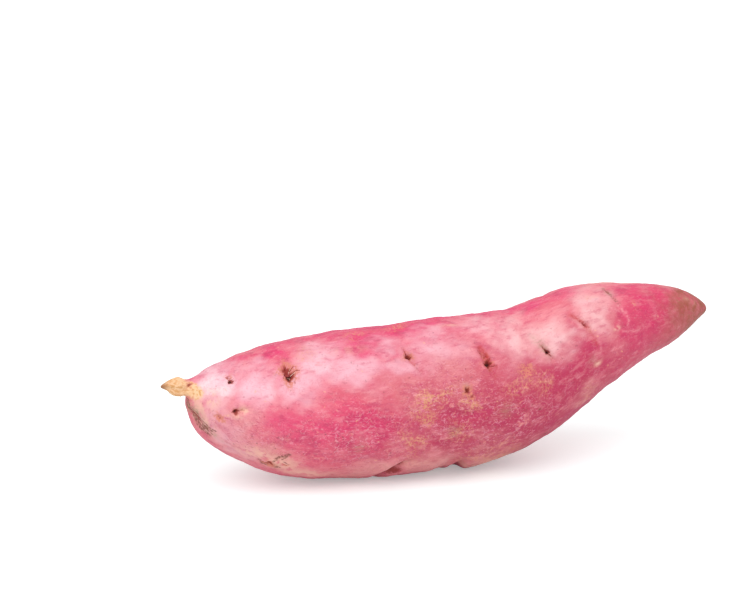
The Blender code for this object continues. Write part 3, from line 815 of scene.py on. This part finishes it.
def finish_fields(mesh, skin):
    """Stores, for the material, how much of each finish every point of the skin has."""
    along, around = ragged(skin)
    fields = {"pit": skin.pit, "cork": skin.cork, "stain": skin.stain, "rust": skin.rust}
    fields["pale_line"] = skin.pale_line
    for name, marks in PATCHES.items():
        place = (skin.along, skin.around) if name in EVEN_EDGED else (along, around)
        fields[name] = patches(marks, *place)
    wedge = turn_between(skin.around, math.radians(NECK_LEAN_AT))
    neck = NECK_AT + NECK_LEAN * bell(wedge, math.radians(NECK_LEAN_WIDTH))
    fields["stub"] = 1.0 / (1.0 + np.exp((skin.along - neck) * NECK_SHARPNESS))
    fields["brown"] = bell(skin.along, STUB_TIP_REACH)
    fields["tan"] = tail_tan(along, around) * (1.0 - CREAM_OVER_TAN * fields["cream"])
    fields["warmth"] = rise(along, *WARM_START)
    fields["busy"] = np.maximum(BUSY_LEAST, fields["busy"])
    # Painted shade of the low side, joined with the patches of painted shade.
    fields["painted_shade"] = np.maximum(painted_low_shade(along, around), fields["painted_shade"])
    for name, values in fields.items():
        store(mesh, name, values)
    store_straight(mesh, skin)


# Materials.

def node(tree, kind, **values):
    made = tree.nodes.new(kind)
    for key, value in values.items():
        setattr(made, key, value)
    return made


def feed(tree, source, target):
    """Links a socket, or sets a plain value."""
    if isinstance(source, bpy.types.NodeSocket):
        tree.links.new(source, target)
    else:
        target.default_value = source


def attribute(tree, name, output="Fac"):
    return node(tree, "ShaderNodeAttribute", attribute_name=name).outputs[output]


def mix_colour(tree, share, first, second, way="MIX"):
    mixed = node(tree, "ShaderNodeMix", data_type="RGBA", blend_type=way, clamp_factor=True)
    feed(tree, share, mixed.inputs[0])
    feed(tree, first, mixed.inputs[6])
    feed(tree, second, mixed.inputs[7])
    return mixed.outputs[2]


def reckon(tree, operation, *values):
    made = node(tree, "ShaderNodeMath", operation=operation)
    for value, socket in zip(values, made.inputs):
        feed(tree, value, socket)
    return made.outputs[0]


def times(tree, first, second):
    return reckon(tree, "MULTIPLY", first, second)


def ramp(tree, value, low, high, to_low=0.0, to_high=1.0):
    """Smooth step of a value from one range to another."""
    made = node(tree, "ShaderNodeMapRange", interpolation_type="SMOOTHSTEP", clamp=True)
    feed(tree, value, made.inputs[0])
    for number, socket in zip((low, high, to_low, to_high), made.inputs[1:5]):
        feed(tree, number, socket)
    return made.outputs[0]


def stretched(tree, place, scale):
    made = node(tree, "ShaderNodeMapping")
    feed(tree, place, made.inputs["Vector"])
    feed(tree, scale, made.inputs["Scale"])
    return made.outputs[0]


def noise(tree, place, scale, detail=3.0, roughness=0.55, output="Fac"):
    made = node(tree, "ShaderNodeTexNoise")
    feed(tree, place, made.inputs["Vector"])
    feed(tree, scale, made.inputs["Scale"])
    feed(tree, detail, made.inputs["Detail"])
    feed(tree, roughness, made.inputs["Roughness"])
    return made.outputs[output]


def warped(tree, place, scale, reach):
    """A place pushed about by soft noise, so that what is drawn there isn't even."""
    cloud = noise(tree, place, scale, 2.0, 0.5, "Color")
    centred = node(tree, "ShaderNodeVectorMath", operation="SUBTRACT")
    feed(tree, cloud, centred.inputs[0])
    centred.inputs[1].default_value = (0.5, 0.5, 0.5)
    scaled = node(tree, "ShaderNodeVectorMath", operation="SCALE")
    feed(tree, centred.outputs[0], scaled.inputs[0])
    feed(tree, reach, scaled.inputs["Scale"])
    moved = node(tree, "ShaderNodeVectorMath", operation="ADD")
    feed(tree, place, moved.inputs[0])
    feed(tree, scaled.outputs[0], moved.inputs[1])
    return moved.outputs[0]


def new_group(name, inputs, outputs):
    group = bpy.data.node_groups.new(name, "ShaderNodeTree")
    for label, kind, value in inputs:
        socket = group.interface.new_socket(label, in_out="INPUT", socket_type=kind)
        if value is not None:
            socket.default_value = value
    for label, kind in outputs:
        group.interface.new_socket(label, in_out="OUTPUT", socket_type=kind)
    return group, group.nodes.new("NodeGroupInput"), group.nodes.new("NodeGroupOutput")


def net_group():
    """Fine wandering lines of dry skin, as on netted roots: a mask of lines in loose patches."""
    group, given, made = new_group(
        "fine_net",
        (
            ("Place", "NodeSocketVector", None),
            ("Cells per metre", "NodeSocketFloat", 480.0),
            ("Line width", "NodeSocketFloat", 0.05),
            ("Cover", "NodeSocketFloat", 0.5),
        ),
        (("Lines", "NodeSocketFloat"),),
    )
    place = warped(group, given.outputs["Place"], 420.0, 0.0032)
    place = warped(group, place, 1500.0, 0.0007)
    cells = node(group, "ShaderNodeTexVoronoi", feature="DISTANCE_TO_EDGE")
    feed(group, stretched(group, place, (0.55, 1.0, 1.0)), cells.inputs["Vector"])
    feed(group, given.outputs["Cells per metre"], cells.inputs["Scale"])
    line = ramp(group, cells.outputs["Distance"], 0.0, given.outputs["Line width"], 1.0, 0.0)
    broken = noise(group, given.outputs["Place"], 800.0, 3.0, 0.7)
    broken = ramp(group, broken, 0.44, 0.58)
    cover = noise(group, given.outputs["Place"], 110.0, 3.0, 0.6)
    threshold = reckon(group, "SUBTRACT", 1.0, given.outputs["Cover"])
    above = reckon(group, "SUBTRACT", cover, threshold)
    cover = ramp(group, above, -0.10, 0.10)
    lines = times(group, times(group, line, broken), cover)
    feed(group, lines, made.inputs["Lines"])
    return group


def dots_group():
    """Small marks scattered one to a cell, most of the cells left empty; stretched, they are dashes."""
    group, given, made = new_group(
        "pores",
        (
            ("Place", "NodeSocketVector", None),
            ("Stretch", "NodeSocketVector", None),
            ("Cells per metre", "NodeSocketFloat", 260.0),
            ("Dot size", "NodeSocketFloat", 0.16),
            ("Share of cells", "NodeSocketFloat", 0.4),
        ),
        (("Dots", "NodeSocketFloat"),),
    )
    cells = node(group, "ShaderNodeTexVoronoi", feature="F1")
    place = warped(group, given.outputs["Place"], 700.0, 0.0017)
    shape = node(group, "ShaderNodeVectorMath", operation="MULTIPLY")
    feed(group, place, shape.inputs[0])
    feed(group, given.outputs["Stretch"], shape.inputs[1])
    feed(group, shape.outputs[0], cells.inputs["Vector"])
    feed(group, given.outputs["Cells per metre"], cells.inputs["Scale"])
    inner = times(group, given.outputs["Dot size"], 0.4)
    dot = ramp(group, cells.outputs["Distance"], inner, given.outputs["Dot size"], 1.0, 0.0)
    split = node(group, "ShaderNodeSeparateColor")
    feed(group, cells.outputs["Color"], split.inputs[0])
    kept = reckon(group, "LESS_THAN", split.outputs[0], given.outputs["Share of cells"])
    feed(group, times(group, dot, kept), made.inputs["Dots"])
    return group


def wandering_group():
    """Thin raised lines that wander and break off, and the painted shade line that lies along each."""
    group, given, made = new_group(
        "wandering_lines",
        (
            ("Place", "NodeSocketVector", None),
            ("Turns per metre", "NodeSocketFloat", 220.0),
            ("Line width", "NodeSocketFloat", 0.03),
            ("Cover", "NodeSocketFloat", 0.5),
        ),
        (("Light", "NodeSocketFloat"), ("Shade", "NodeSocketFloat")),
    )
    place = warped(group, given.outputs["Place"], 420.0, 0.0016)
    cloud = noise(group, stretched(group, place, LONG_SPECK), given.outputs["Turns per metre"], 2.0, 0.5)
    level = reckon(group, "SUBTRACT", cloud, 0.5)
    width = given.outputs["Line width"]
    beside = reckon(group, "SUBTRACT", level, times(group, width, 1.3))
    broken = noise(group, place, 360.0, 3.0, 0.6)
    threshold = reckon(group, "SUBTRACT", 1.0, given.outputs["Cover"])
    broken = ramp(group, reckon(group, "SUBTRACT", broken, threshold), -0.06, 0.06)
    for name, from_line in (("Light", level), ("Shade", beside)):
        line = ramp(group, reckon(group, "ABSOLUTE", from_line), 0.0, width, 1.0, 0.0)
        feed(group, times(group, line, broken), made.inputs[name])
    return group


def grain_group():
    """Fine wrinkles that run along the root, creases across it and dust-fine grain, for the bump."""
    group, given, made = new_group(
        "skin_grain",
        (
            ("Place", "NodeSocketVector", None),
            ("Wrinkles", "NodeSocketFloat", 0.5),
            ("Grain", "NodeSocketFloat", 0.5),
        ),
        (("Height", "NodeSocketFloat"),),
    )
    long_way = stretched(group, given.outputs["Place"], (0.35, 1.0, 1.0))
    wrinkle = noise(group, long_way, 700.0, 4.0, 0.62)
    across = stretched(group, given.outputs["Place"], (1.0, 0.4, 0.4))
    crease = noise(group, across, 330.0, 3.0, 0.55)
    fine = noise(group, given.outputs["Place"], 2600.0, 2.0, 0.6)
    wrinkles = times(group, reckon(group, "ADD", wrinkle, crease), given.outputs["Wrinkles"])
    dust = times(group, fine, given.outputs["Grain"])
    feed(group, reckon(group, "ADD", wrinkles, dust), made.inputs["Height"])
    return group


def use_group(tree, group, output, **values):
    made = node(tree, "ShaderNodeGroup")
    made.node_tree = group
    for key, value in values.items():
        feed(tree, value, made.inputs[key.replace("_", " ")])
    return made.outputs[output]


def skin_colour(tree, place, masks):
    """The red skin: rose and salmon in soft clouds, vivid pink and pale patches, painted shade on the low
    side and round the fold, then fine lines and flecks.
    """
    clouds = noise(tree, stretched(tree, place, LONG_CLOUD), 40.0, 3.0, 0.5)
    blush = noise(tree, stretched(tree, place, LONG_CLOUD), 95.0, 4.0, 0.6)
    mottle = noise(tree, stretched(tree, place, LONG_CLOUD), 260.0, 4.0, 0.62)
    streaks = noise(tree, stretched(tree, place, LONG_STREAK), 520.0, 4.0, 0.62)
    flecks = noise(tree, stretched(tree, place, LONG_CLOUD), 1300.0, 3.0, 0.6)
    grain = noise(tree, stretched(tree, place, LONG_CLOUD), 2600.0, 2.0, 0.5)
    busy = attribute(tree, "busy")
    colour = mix_colour(tree, ramp(tree, clouds, 0.38, 0.62), ROSE, SALMON)
    # Vivid pink: the skin's own blotches, and painted shade along the top edge.
    hot_and_edge_shade = times(tree, attribute(tree, "hot_and_edge_shade"), ramp(tree, blush, 0.30, 0.60, 0.60, 1.0))
    hot_and_edge_shade = reckon(tree, "ADD", hot_and_edge_shade, ramp(tree, blush, 0.56, 0.70, 0.0, 0.50))
    colour = mix_colour(tree, hot_and_edge_shade, colour, HOT_PINK_AND_EDGE_SHADE)
    colour = mix_colour(tree, ramp(tree, blush, 0.47, 0.32, 0.0, 0.55), colour, PALE_SALMON)
    # Painted shade: darker red on the low side, round the fold and along the lowest line of the body.
    colour = mix_colour(tree, times(tree, attribute(tree, "painted_shade"), 0.8), colour, PAINTED_SHADE_RED)
    dusty = times(tree, attribute(tree, "dusty"), ramp(tree, blush, 0.34, 0.56, 0.5, 1.0))
    colour = mix_colour(tree, dusty, colour, DUSTY_PINK)
    colour = mix_colour(tree, ramp(tree, mottle, 0.53, 0.68, 0.0, 0.30), colour, PALE_SALMON)
    colour = mix_colour(tree, ramp(tree, mottle, 0.48, 0.34, 0.0, 0.50), colour, DEEP_ROSE)
    cloudy = reckon(tree, "ADD", times(tree, clouds, 0.6), times(tree, streaks, 0.4))
    # Pale patches: partly pale bloom, partly painted sheen.
    pale = times(tree, attribute(tree, "pale"), ramp(tree, cloudy, 0.36, 0.56, 0.55, 1.0))
    pale_and_sheen_tone = mix_colour(tree, attribute(tree, "warmth"), LILAC_AND_SHEEN, WARM_PALE_AND_SHEEN)
    colour = mix_colour(tree, pale, colour, pale_and_sheen_tone)
    # Frost-pale bloom with a painted highlight over it.
    colour = mix_colour(tree, times(tree, attribute(tree, "frost_and_sheen"), 0.9), colour, FROST_AND_SHEEN)
    colour = mix_colour(tree, ramp(tree, streaks, 0.54, 0.68, 0.0, 0.25), colour, PALE_PINK)
    colour = mix_colour(tree, ramp(tree, streaks, 0.45, 0.32, 0.0, 0.28), colour, DEEP_ROSE)
    fine = (
        (flecks, 0.56, 0.70, 0.36, MAUVE),
        (flecks, 0.44, 0.30, 0.36, PALE_ROSE),
        (grain, 0.55, 0.72, 0.30, DEEP_ROSE),
        (grain, 0.45, 0.28, 0.28, PALE_ROSE),
    )
    for field, low, high, most, tone in fine:
        colour = mix_colour(tree, times(tree, busy, ramp(tree, field, low, high, 0.0, most)), colour, tone)
    over = (
        (masks["dashes"], 0.45, MAUVE),
        (masks["strokes"], 0.30, PALE_ROSE),
        (masks["specks"], 0.34, PALE_SALMON),
        # Painted shade along the raised lines.
        (masks["shade"], 0.62, DEEP_ROSE),
        (masks["fine_shade"], 0.60, DEEP_ROSE),
        (masks["lines"], 0.48, PEACH),
        (masks["fine_lines"], 0.42, PALE_ROSE),
        (masks["dark_pores"], 0.75, GREY_BROWN),
    )
    for mask, most, tone in over:
        colour = mix_colour(tree, times(tree, times(tree, mask, busy), most), colour, tone)
    netted = times(tree, masks["net"], attribute(tree, "netted"))
    colour = mix_colour(tree, times(tree, netted, 0.8), colour, STRAW)
    colour = mix_colour(tree, times(tree, masks["pores"], 0.45), colour, STRAW)
    drawn = times(tree, attribute(tree, "pale_line"), ramp(tree, flecks, 0.40, 0.58, 0.15, 1.0))
    return mix_colour(tree, drawn, colour, PALE_PINK)


def mark_colour(tree, place, colour):
    """What lies on the skin: cream and ochre scurf, grey-green stains, cork, pits, stub and tips; the ochre
    on the stub's lower side and the dark of the fold's crease are partly painted shade.
    """
    grit = noise(tree, place, 1500.0, 4.0, 0.7)
    blot = noise(tree, place, 330.0, 4.0, 0.65)
    fibre = noise(tree, stretched(tree, place, (0.2, 1.0, 1.0)), 1300.0, 3.0, 0.6)
    cream = times(tree, attribute(tree, "cream"), ramp(tree, blot, 0.41, 0.55, 0.1, 1.0))
    colour = mix_colour(tree, cream, colour, CREAM)
    green = times(tree, attribute(tree, "green"), ramp(tree, fibre, 0.40, 0.60, 0.25, 0.95))
    colour = mix_colour(tree, green, colour, GREY_GREEN)
    tan = times(tree, attribute(tree, "tan"), ramp(tree, blot, 0.36, 0.60, 0.45, 1.0))
    colour = mix_colour(tree, tan, colour, TIP_TAN)
    frayed = times(tree, reckon(tree, "SUBTRACT", blot, 0.5), 1.1)
    stub = ramp(tree, reckon(tree, "ADD", attribute(tree, "stub"), frayed), 0.30, 0.70)
    colour = mix_colour(tree, stub, colour, STUB_CREAM)
    colour = mix_colour(tree, times(tree, stub, ramp(tree, fibre, 0.45, 0.62, 0.0, 0.85)), colour, STUB_OCHRE)
    # Ochre scurf; on the stub's lower side partly painted shade.
    ochre = times(tree, attribute(tree, "ochre"), ramp(tree, grit, 0.46, 0.58))
    colour = mix_colour(tree, times(tree, ochre, 0.8), colour, OCHRE)
    brown = times(tree, attribute(tree, "brown"), ramp(tree, blot, 0.25, 0.60, 0.55, 1.0))
    colour = mix_colour(tree, brown, colour, TIP_BROWN)
    stained = times(tree, attribute(tree, "stain"), ramp(tree, grit, 0.38, 0.60, 0.35, 1.1))
    colour = mix_colour(tree, ramp(tree, stained, 0.10, 0.80, 0.0, 0.85), colour, STAIN_DARK)
    ring = times(tree, attribute(tree, "cork"), ramp(tree, grit, 0.34, 0.60, 0.25, 1.3))
    colour = mix_colour(tree, ramp(tree, ring, 0.15, 0.70, 0.0, 0.9), colour, CORK)
    rust = times(tree, attribute(tree, "rust"), ramp(tree, grit, 0.34, 0.58, 0.45, 1.0))
    colour = mix_colour(tree, rust, colour, RUST)
    gritty = times(tree, reckon(tree, "SUBTRACT", grit, 0.5), 0.5)
    torn = reckon(tree, "ADD", attribute(tree, "pit"), gritty)
    colour = mix_colour(tree, ramp(tree, torn, 0.14, 0.40, 0.0, 0.85), colour, PIT_RED)
    return mix_colour(tree, ramp(tree, torn, 0.58, 0.84, 0.0, 0.9), colour, PIT_DARK)


# Colours of the skin, of what lies on it and of the hairs, as linear values.
ROSE = (0.70, 0.080, 0.165, 1.0)
SALMON = (0.74, 0.130, 0.185, 1.0)
# Vivid pink of the skin's blotches, also used as painted shade along the top edge.
HOT_PINK_AND_EDGE_SHADE = (0.74, 0.034, 0.150, 1.0)
# Lilac and warm pale tones of the pale patches: partly bloom, partly painted sheen.
LILAC_AND_SHEEN = (0.87, 0.49, 0.57, 1.0)
WARM_PALE_AND_SHEEN = (0.87, 0.48, 0.49, 1.0)
# Frost pale: bloom with a painted highlight over it.
FROST_AND_SHEEN = (0.91, 0.68, 0.71, 1.0)
# Dark red of the painted shade.
PAINTED_SHADE_RED = (0.42, 0.035, 0.080, 1.0)
DEEP_ROSE = (0.50, 0.040, 0.115, 1.0)
PALE_SALMON = (0.84, 0.27, 0.31, 1.0)
DUSTY_PINK = (0.78, 0.32, 0.31, 1.0)
PALE_PINK = (0.92, 0.40, 0.43, 1.0)
PALE_ROSE = (0.92, 0.42, 0.52, 1.0)
MAUVE = (0.36, 0.07, 0.14, 1.0)
STRAW = (0.90, 0.45, 0.29, 1.0)
PEACH = (0.90, 0.33, 0.30, 1.0)
GREY_BROWN = (0.27, 0.07, 0.07, 1.0)
CREAM = (0.89, 0.50, 0.40, 1.0)
OCHRE = (0.72, 0.36, 0.17, 1.0)
GREY_GREEN = (0.40, 0.28, 0.17, 1.0)
STAIN_DARK = (0.200, 0.065, 0.045, 1.0)
STUB_CREAM = (0.90, 0.57, 0.34, 1.0)
STUB_OCHRE = (0.66, 0.31, 0.11, 1.0)
TIP_TAN = (0.35, 0.085, 0.055, 1.0)
TIP_BROWN = (0.34, 0.15, 0.08, 1.0)
RUST = (0.50, 0.050, 0.055, 1.0)
CORK = (0.68, 0.225, 0.165, 1.0)
PIT_RED = (0.29, 0.036, 0.030, 1.0)
PIT_DARK = (0.045, 0.012, 0.010, 1.0)
HAIR_STRAW = (0.85, 0.66, 0.52, 1.0)
HAIR_BROWN = (0.52, 0.30, 0.20, 1.0)

# Gloss and relief of the skin.
SKIN_ROUGHNESS = (0.45, 0.80)      # of smooth skin, and of cork, scurf and stub
SKIN_SPECULAR = 0.12
NET_HEIGHT = 0.35
LINE_HEIGHT = 0.30
FINE_LINE_HEIGHT = 0.16
DARK_PORE_DEPTH = 0.5
DASH_DEPTH = 0.4
BUMP_STRENGTH = 0.9
BUMP_DISTANCE = 0.0003             # metres
HAIR_ROUGHNESS = 0.7
HAIR_BUMP_DISTANCE = 0.00005

# The two sets of wandering lines: their masks, turns per metre, line width and cover.
WANDERING_LINES = (
    ("lines", "shade", 250.0, 0.020, 0.50),
    ("fine_lines", "fine_shade", 560.0, 0.038, 0.50),
)

EVEN = (1.0, 1.0, 1.0)
LONG_CLOUD = (0.55, 1.0, 1.0)
LONG_STREAK = (0.34, 1.0, 1.0)
LONG_STROKE = (0.42, 1.0, 1.0)
LONG_SPECK = (0.7, 1.0, 1.0)

NET = {"Cells_per_metre": 520.0, "Line_width": 0.20, "Cover": 0.75}
# Marks scattered one to a cell: stretch, cells per metre, size of a mark, share of the cells with one.
SCATTERED_MARKS = {
    "strokes": (LONG_STROKE, 760.0, 0.34, 0.40),
    "specks": (LONG_SPECK, 640.0, 0.26, 0.50),
    "pores": (EVEN, 300.0, 0.15, 0.15),
    "dark_pores": (EVEN, 560.0, 0.17, 0.26),
    "dashes": (LONG_STREAK, 620.0, 0.22, 0.16),
}


def wandering_masks(tree, place, wandering):
    masks = {}
    for line, shade, turns, width, cover in WANDERING_LINES:
        given = {"Place": place, "Turns_per_metre": turns, "Line_width": width, "Cover": cover}
        masks[line] = use_group(tree, wandering, "Light", **given)
        masks[shade] = use_group(tree, wandering, "Shade", **given)
    return masks


def skin_masks(tree, place, net, dots):
    masks = {"net": use_group(tree, net, "Lines", Place=place, **NET)}
    for name, (stretch, cells, size, share) in SCATTERED_MARKS.items():
        given = {"Place": place, "Stretch": stretch, "Cells_per_metre": cells}
        given |= {"Dot_size": size, "Share_of_cells": share}
        masks[name] = use_group(tree, dots, "Dots", **given)
    return masks


def skin_material(net, dots, grain, wandering):
    material = bpy.data.materials.new("red_skin")
    material.use_nodes = True
    tree = material.node_tree
    shader = tree.nodes["Principled BSDF"]
    place = attribute(tree, "straight", "Vector")
    masks = skin_masks(tree, place, net, dots) | wandering_masks(tree, place, wandering)
    colour = mark_colour(tree, place, skin_colour(tree, place, masks))
    feed(tree, colour, shader.inputs["Base Color"])
    rough = reckon(tree, "MAXIMUM", attribute(tree, "cork"), attribute(tree, "stub"))
    rough = reckon(tree, "MAXIMUM", rough, attribute(tree, "ochre"))
    feed(tree, ramp(tree, rough, 0.0, 1.0, *SKIN_ROUGHNESS), shader.inputs["Roughness"])
    shader.inputs["Specular IOR Level"].default_value = SKIN_SPECULAR
    height = use_group(tree, grain, "Height", Place=place, Wrinkles=0.9, Grain=0.25)
    netted = times(tree, masks["net"], attribute(tree, "netted"))
    height = reckon(tree, "ADD", height, times(tree, netted, NET_HEIGHT))
    fine_lines = times(tree, masks["fine_lines"], FINE_LINE_HEIGHT)
    raised = reckon(tree, "ADD", times(tree, masks["lines"], LINE_HEIGHT), fine_lines)
    height = reckon(tree, "ADD", height, times(tree, raised, attribute(tree, "busy")))
    height = reckon(tree, "SUBTRACT", height, times(tree, masks["dark_pores"], DARK_PORE_DEPTH))
    height = reckon(tree, "SUBTRACT", height, times(tree, masks["dashes"], DASH_DEPTH))
    bump = node(tree, "ShaderNodeBump")
    bump.inputs["Strength"].default_value = BUMP_STRENGTH
    bump.inputs["Distance"].default_value = BUMP_DISTANCE
    feed(tree, height, bump.inputs["Height"])
    feed(tree, bump.outputs[0], shader.inputs["Normal"])
    return material


def hair_material(grain):
    material = bpy.data.materials.new("dry_root_hair")
    material.use_nodes = True
    tree = material.node_tree
    shader = tree.nodes["Principled BSDF"]
    place = node(tree, "ShaderNodeTexCoord").outputs["Object"]
    tone = noise(tree, place, 900.0, 3.0, 0.6)
    colour = mix_colour(tree, ramp(tree, tone, 0.40, 0.62), HAIR_STRAW, HAIR_BROWN)
    feed(tree, colour, shader.inputs["Base Color"])
    shader.inputs["Roughness"].default_value = HAIR_ROUGHNESS
    bump = node(tree, "ShaderNodeBump")
    bump.inputs["Distance"].default_value = HAIR_BUMP_DISTANCE
    height = use_group(tree, grain, "Height", Place=place, Wrinkles=0.4, Grain=0.5)
    feed(tree, height, bump.inputs["Height"])
    feed(tree, bump.outputs[0], shader.inputs["Normal"])
    return material


def floor_material():
    material = bpy.data.materials.new("pale_floor")
    material.use_nodes = True
    tree = material.node_tree
    shader = tree.nodes["Principled BSDF"]
    shader.inputs["Base Color"].default_value = FLOOR_COLOUR
    shader.inputs["Roughness"].default_value = FLOOR_ROUGHNESS
    shader.inputs["Specular IOR Level"].default_value = FLOOR_SPECULAR
    shader.inputs["Emission Color"].default_value = FLOOR_GLOW_COLOUR
    seen = node(tree, "ShaderNodeLightPath").outputs["Is Camera Ray"]
    glow = reckon(tree, "ADD", times(tree, seen, FLOOR_GLOW_SEEN), FLOOR_GLOW)
    feed(tree, glow, shader.inputs["Emission Strength"])
    return material


# Root hairs.

def skin_point(along, degrees):
    skin = Skin(np.array([float(along)]), np.array([math.radians(degrees)]))
    skin.swell()
    skin.stub()
    point = skin.points()[0]
    outward = point - AXIS.centre(np.array([float(along)]))[0] * MM
    return Vector(point), Vector(outward).normalized()


def one_hair(number, along, degrees, steps):
    """A thin dry hair: a ring of edges drawn on from the skin and narrowed to a point."""
    foot, outward = skin_point(along, degrees)
    root = foot - outward * HAIR_ROOT_DEPTH * MM
    lie = [foot + Vector(step) * MM for step in steps]
    deselect_all()
    bpy.ops.mesh.primitive_circle_add(
        vertices=HAIR_SIDES,
        radius=HAIR_RADIUS * MM,
        location=root,
        rotation=outward.to_track_quat("Z", "Y").to_euler(),
    )
    hair = bpy.context.object
    hair.name = f"root_hair_{number}"
    bpy.ops.object.transform_apply(location=True, rotation=True, scale=True)
    bpy.ops.object.mode_set(mode="EDIT")
    bpy.ops.mesh.select_all(action="SELECT")
    bpy.ops.mesh.edge_face_add()
    at = root
    for place in [foot] + lie:
        bpy.ops.mesh.extrude_region_move(TRANSFORM_OT_translate={"value": place - at})
        bpy.ops.transform.resize(value=(HAIR_TAPER,) * 3, center_override=place)
        at = place
    bpy.ops.mesh.merge(type="CENTER")
    bpy.ops.mesh.select_all(action="SELECT")
    bpy.ops.mesh.normals_make_consistent(inside=False)
    bpy.ops.object.mode_set(mode="OBJECT")
    return hair


def make_hairs():
    hairs = [one_hair(i, *values) for i, values in enumerate(ROOT_HAIRS)]
    deselect_all()
    for hair in hairs:
        hair.select_set(True)
    bpy.context.view_layer.objects.active = hairs[0]
    bpy.ops.object.join()
    piece = bpy.context.object
    piece.name = "root_hairs"
    piece.data.name = "root_hairs"
    smooth = piece.modifiers.new("smooth_hairs", "SUBSURF")
    smooth.levels = HAIR_LEVELS
    smooth.render_levels = HAIR_LEVELS
    bpy.ops.object.modifier_apply(modifier=smooth.name)
    bpy.ops.object.shade_smooth()
    return piece


# Floor, light and camera.

def make_floor():
    deselect_all()
    bpy.ops.mesh.primitive_plane_add(size=FLOOR_SIZE, location=(0.0, 0.0, 0.0))
    floor = bpy.context.object
    floor.name = "pale_floor"
    floor.data.materials.append(floor_material())


def make_light():
    """A white studio: soft light from all round, and a broad key from above, in front and to the left."""
    scene = bpy.context.scene
    scene.view_settings.view_transform = "Standard"
    world = bpy.data.worlds.new("white_studio")
    world.use_nodes = True
    tree = world.node_tree
    lit = tree.nodes["Background"]
    lit.inputs["Color"].default_value = STUDIO_WHITE
    lit.inputs["Strength"].default_value = STUDIO_STRENGTH
    seen = tree.nodes.new("ShaderNodeBackground")
    seen.inputs["Strength"].default_value = 1.0
    seen.inputs["Color"].default_value = STUDIO_WHITE
    path = tree.nodes.new("ShaderNodeLightPath")
    either = tree.nodes.new("ShaderNodeMixShader")
    tree.links.new(path.outputs["Is Camera Ray"], either.inputs[0])
    tree.links.new(lit.outputs[0], either.inputs[1])
    tree.links.new(seen.outputs[0], either.inputs[2])
    tree.links.new(either.outputs[0], tree.nodes["World Output"].inputs["Surface"])
    scene.world = world
    turn = tuple(math.radians(degrees) for degrees in KEY_TURN)
    bpy.ops.object.light_add(type="SUN", rotation=turn)
    key = bpy.context.object
    key.name = "soft_key"
    key.data.energy = KEY_ENERGY
    key.data.angle = math.radians(KEY_ANGLE)


def make_camera():
    turn = math.radians(VIEW_TURN)
    height = math.radians(VIEW_HEIGHT)
    back = Vector((math.sin(turn) * math.cos(height), -math.cos(turn) * math.cos(height), math.sin(height)))
    data = bpy.data.cameras.new("photo_view")
    data.lens = LENS
    camera = bpy.data.objects.new("photo_view", data)
    bpy.context.collection.objects.link(camera)
    camera.location = Vector(VIEW_TARGET) + back * VIEW_DISTANCE
    camera.rotation_euler = back.to_track_quat("Z", "Y").to_euler()
    bpy.context.scene.camera = camera


def main():
    make_camera()
    net = net_group()
    dots = dots_group()
    grain = grain_group()
    skin = make_skin()
    skin.data.materials.append(skin_material(net, dots, grain, wandering_group()))
    hairs = make_hairs()
    hairs.data.materials.append(hair_material(grain))
    for piece in (skin, hairs):
        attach(piece, "root")
        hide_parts("sweet_potato")
    make_floor()
    make_light()


main()
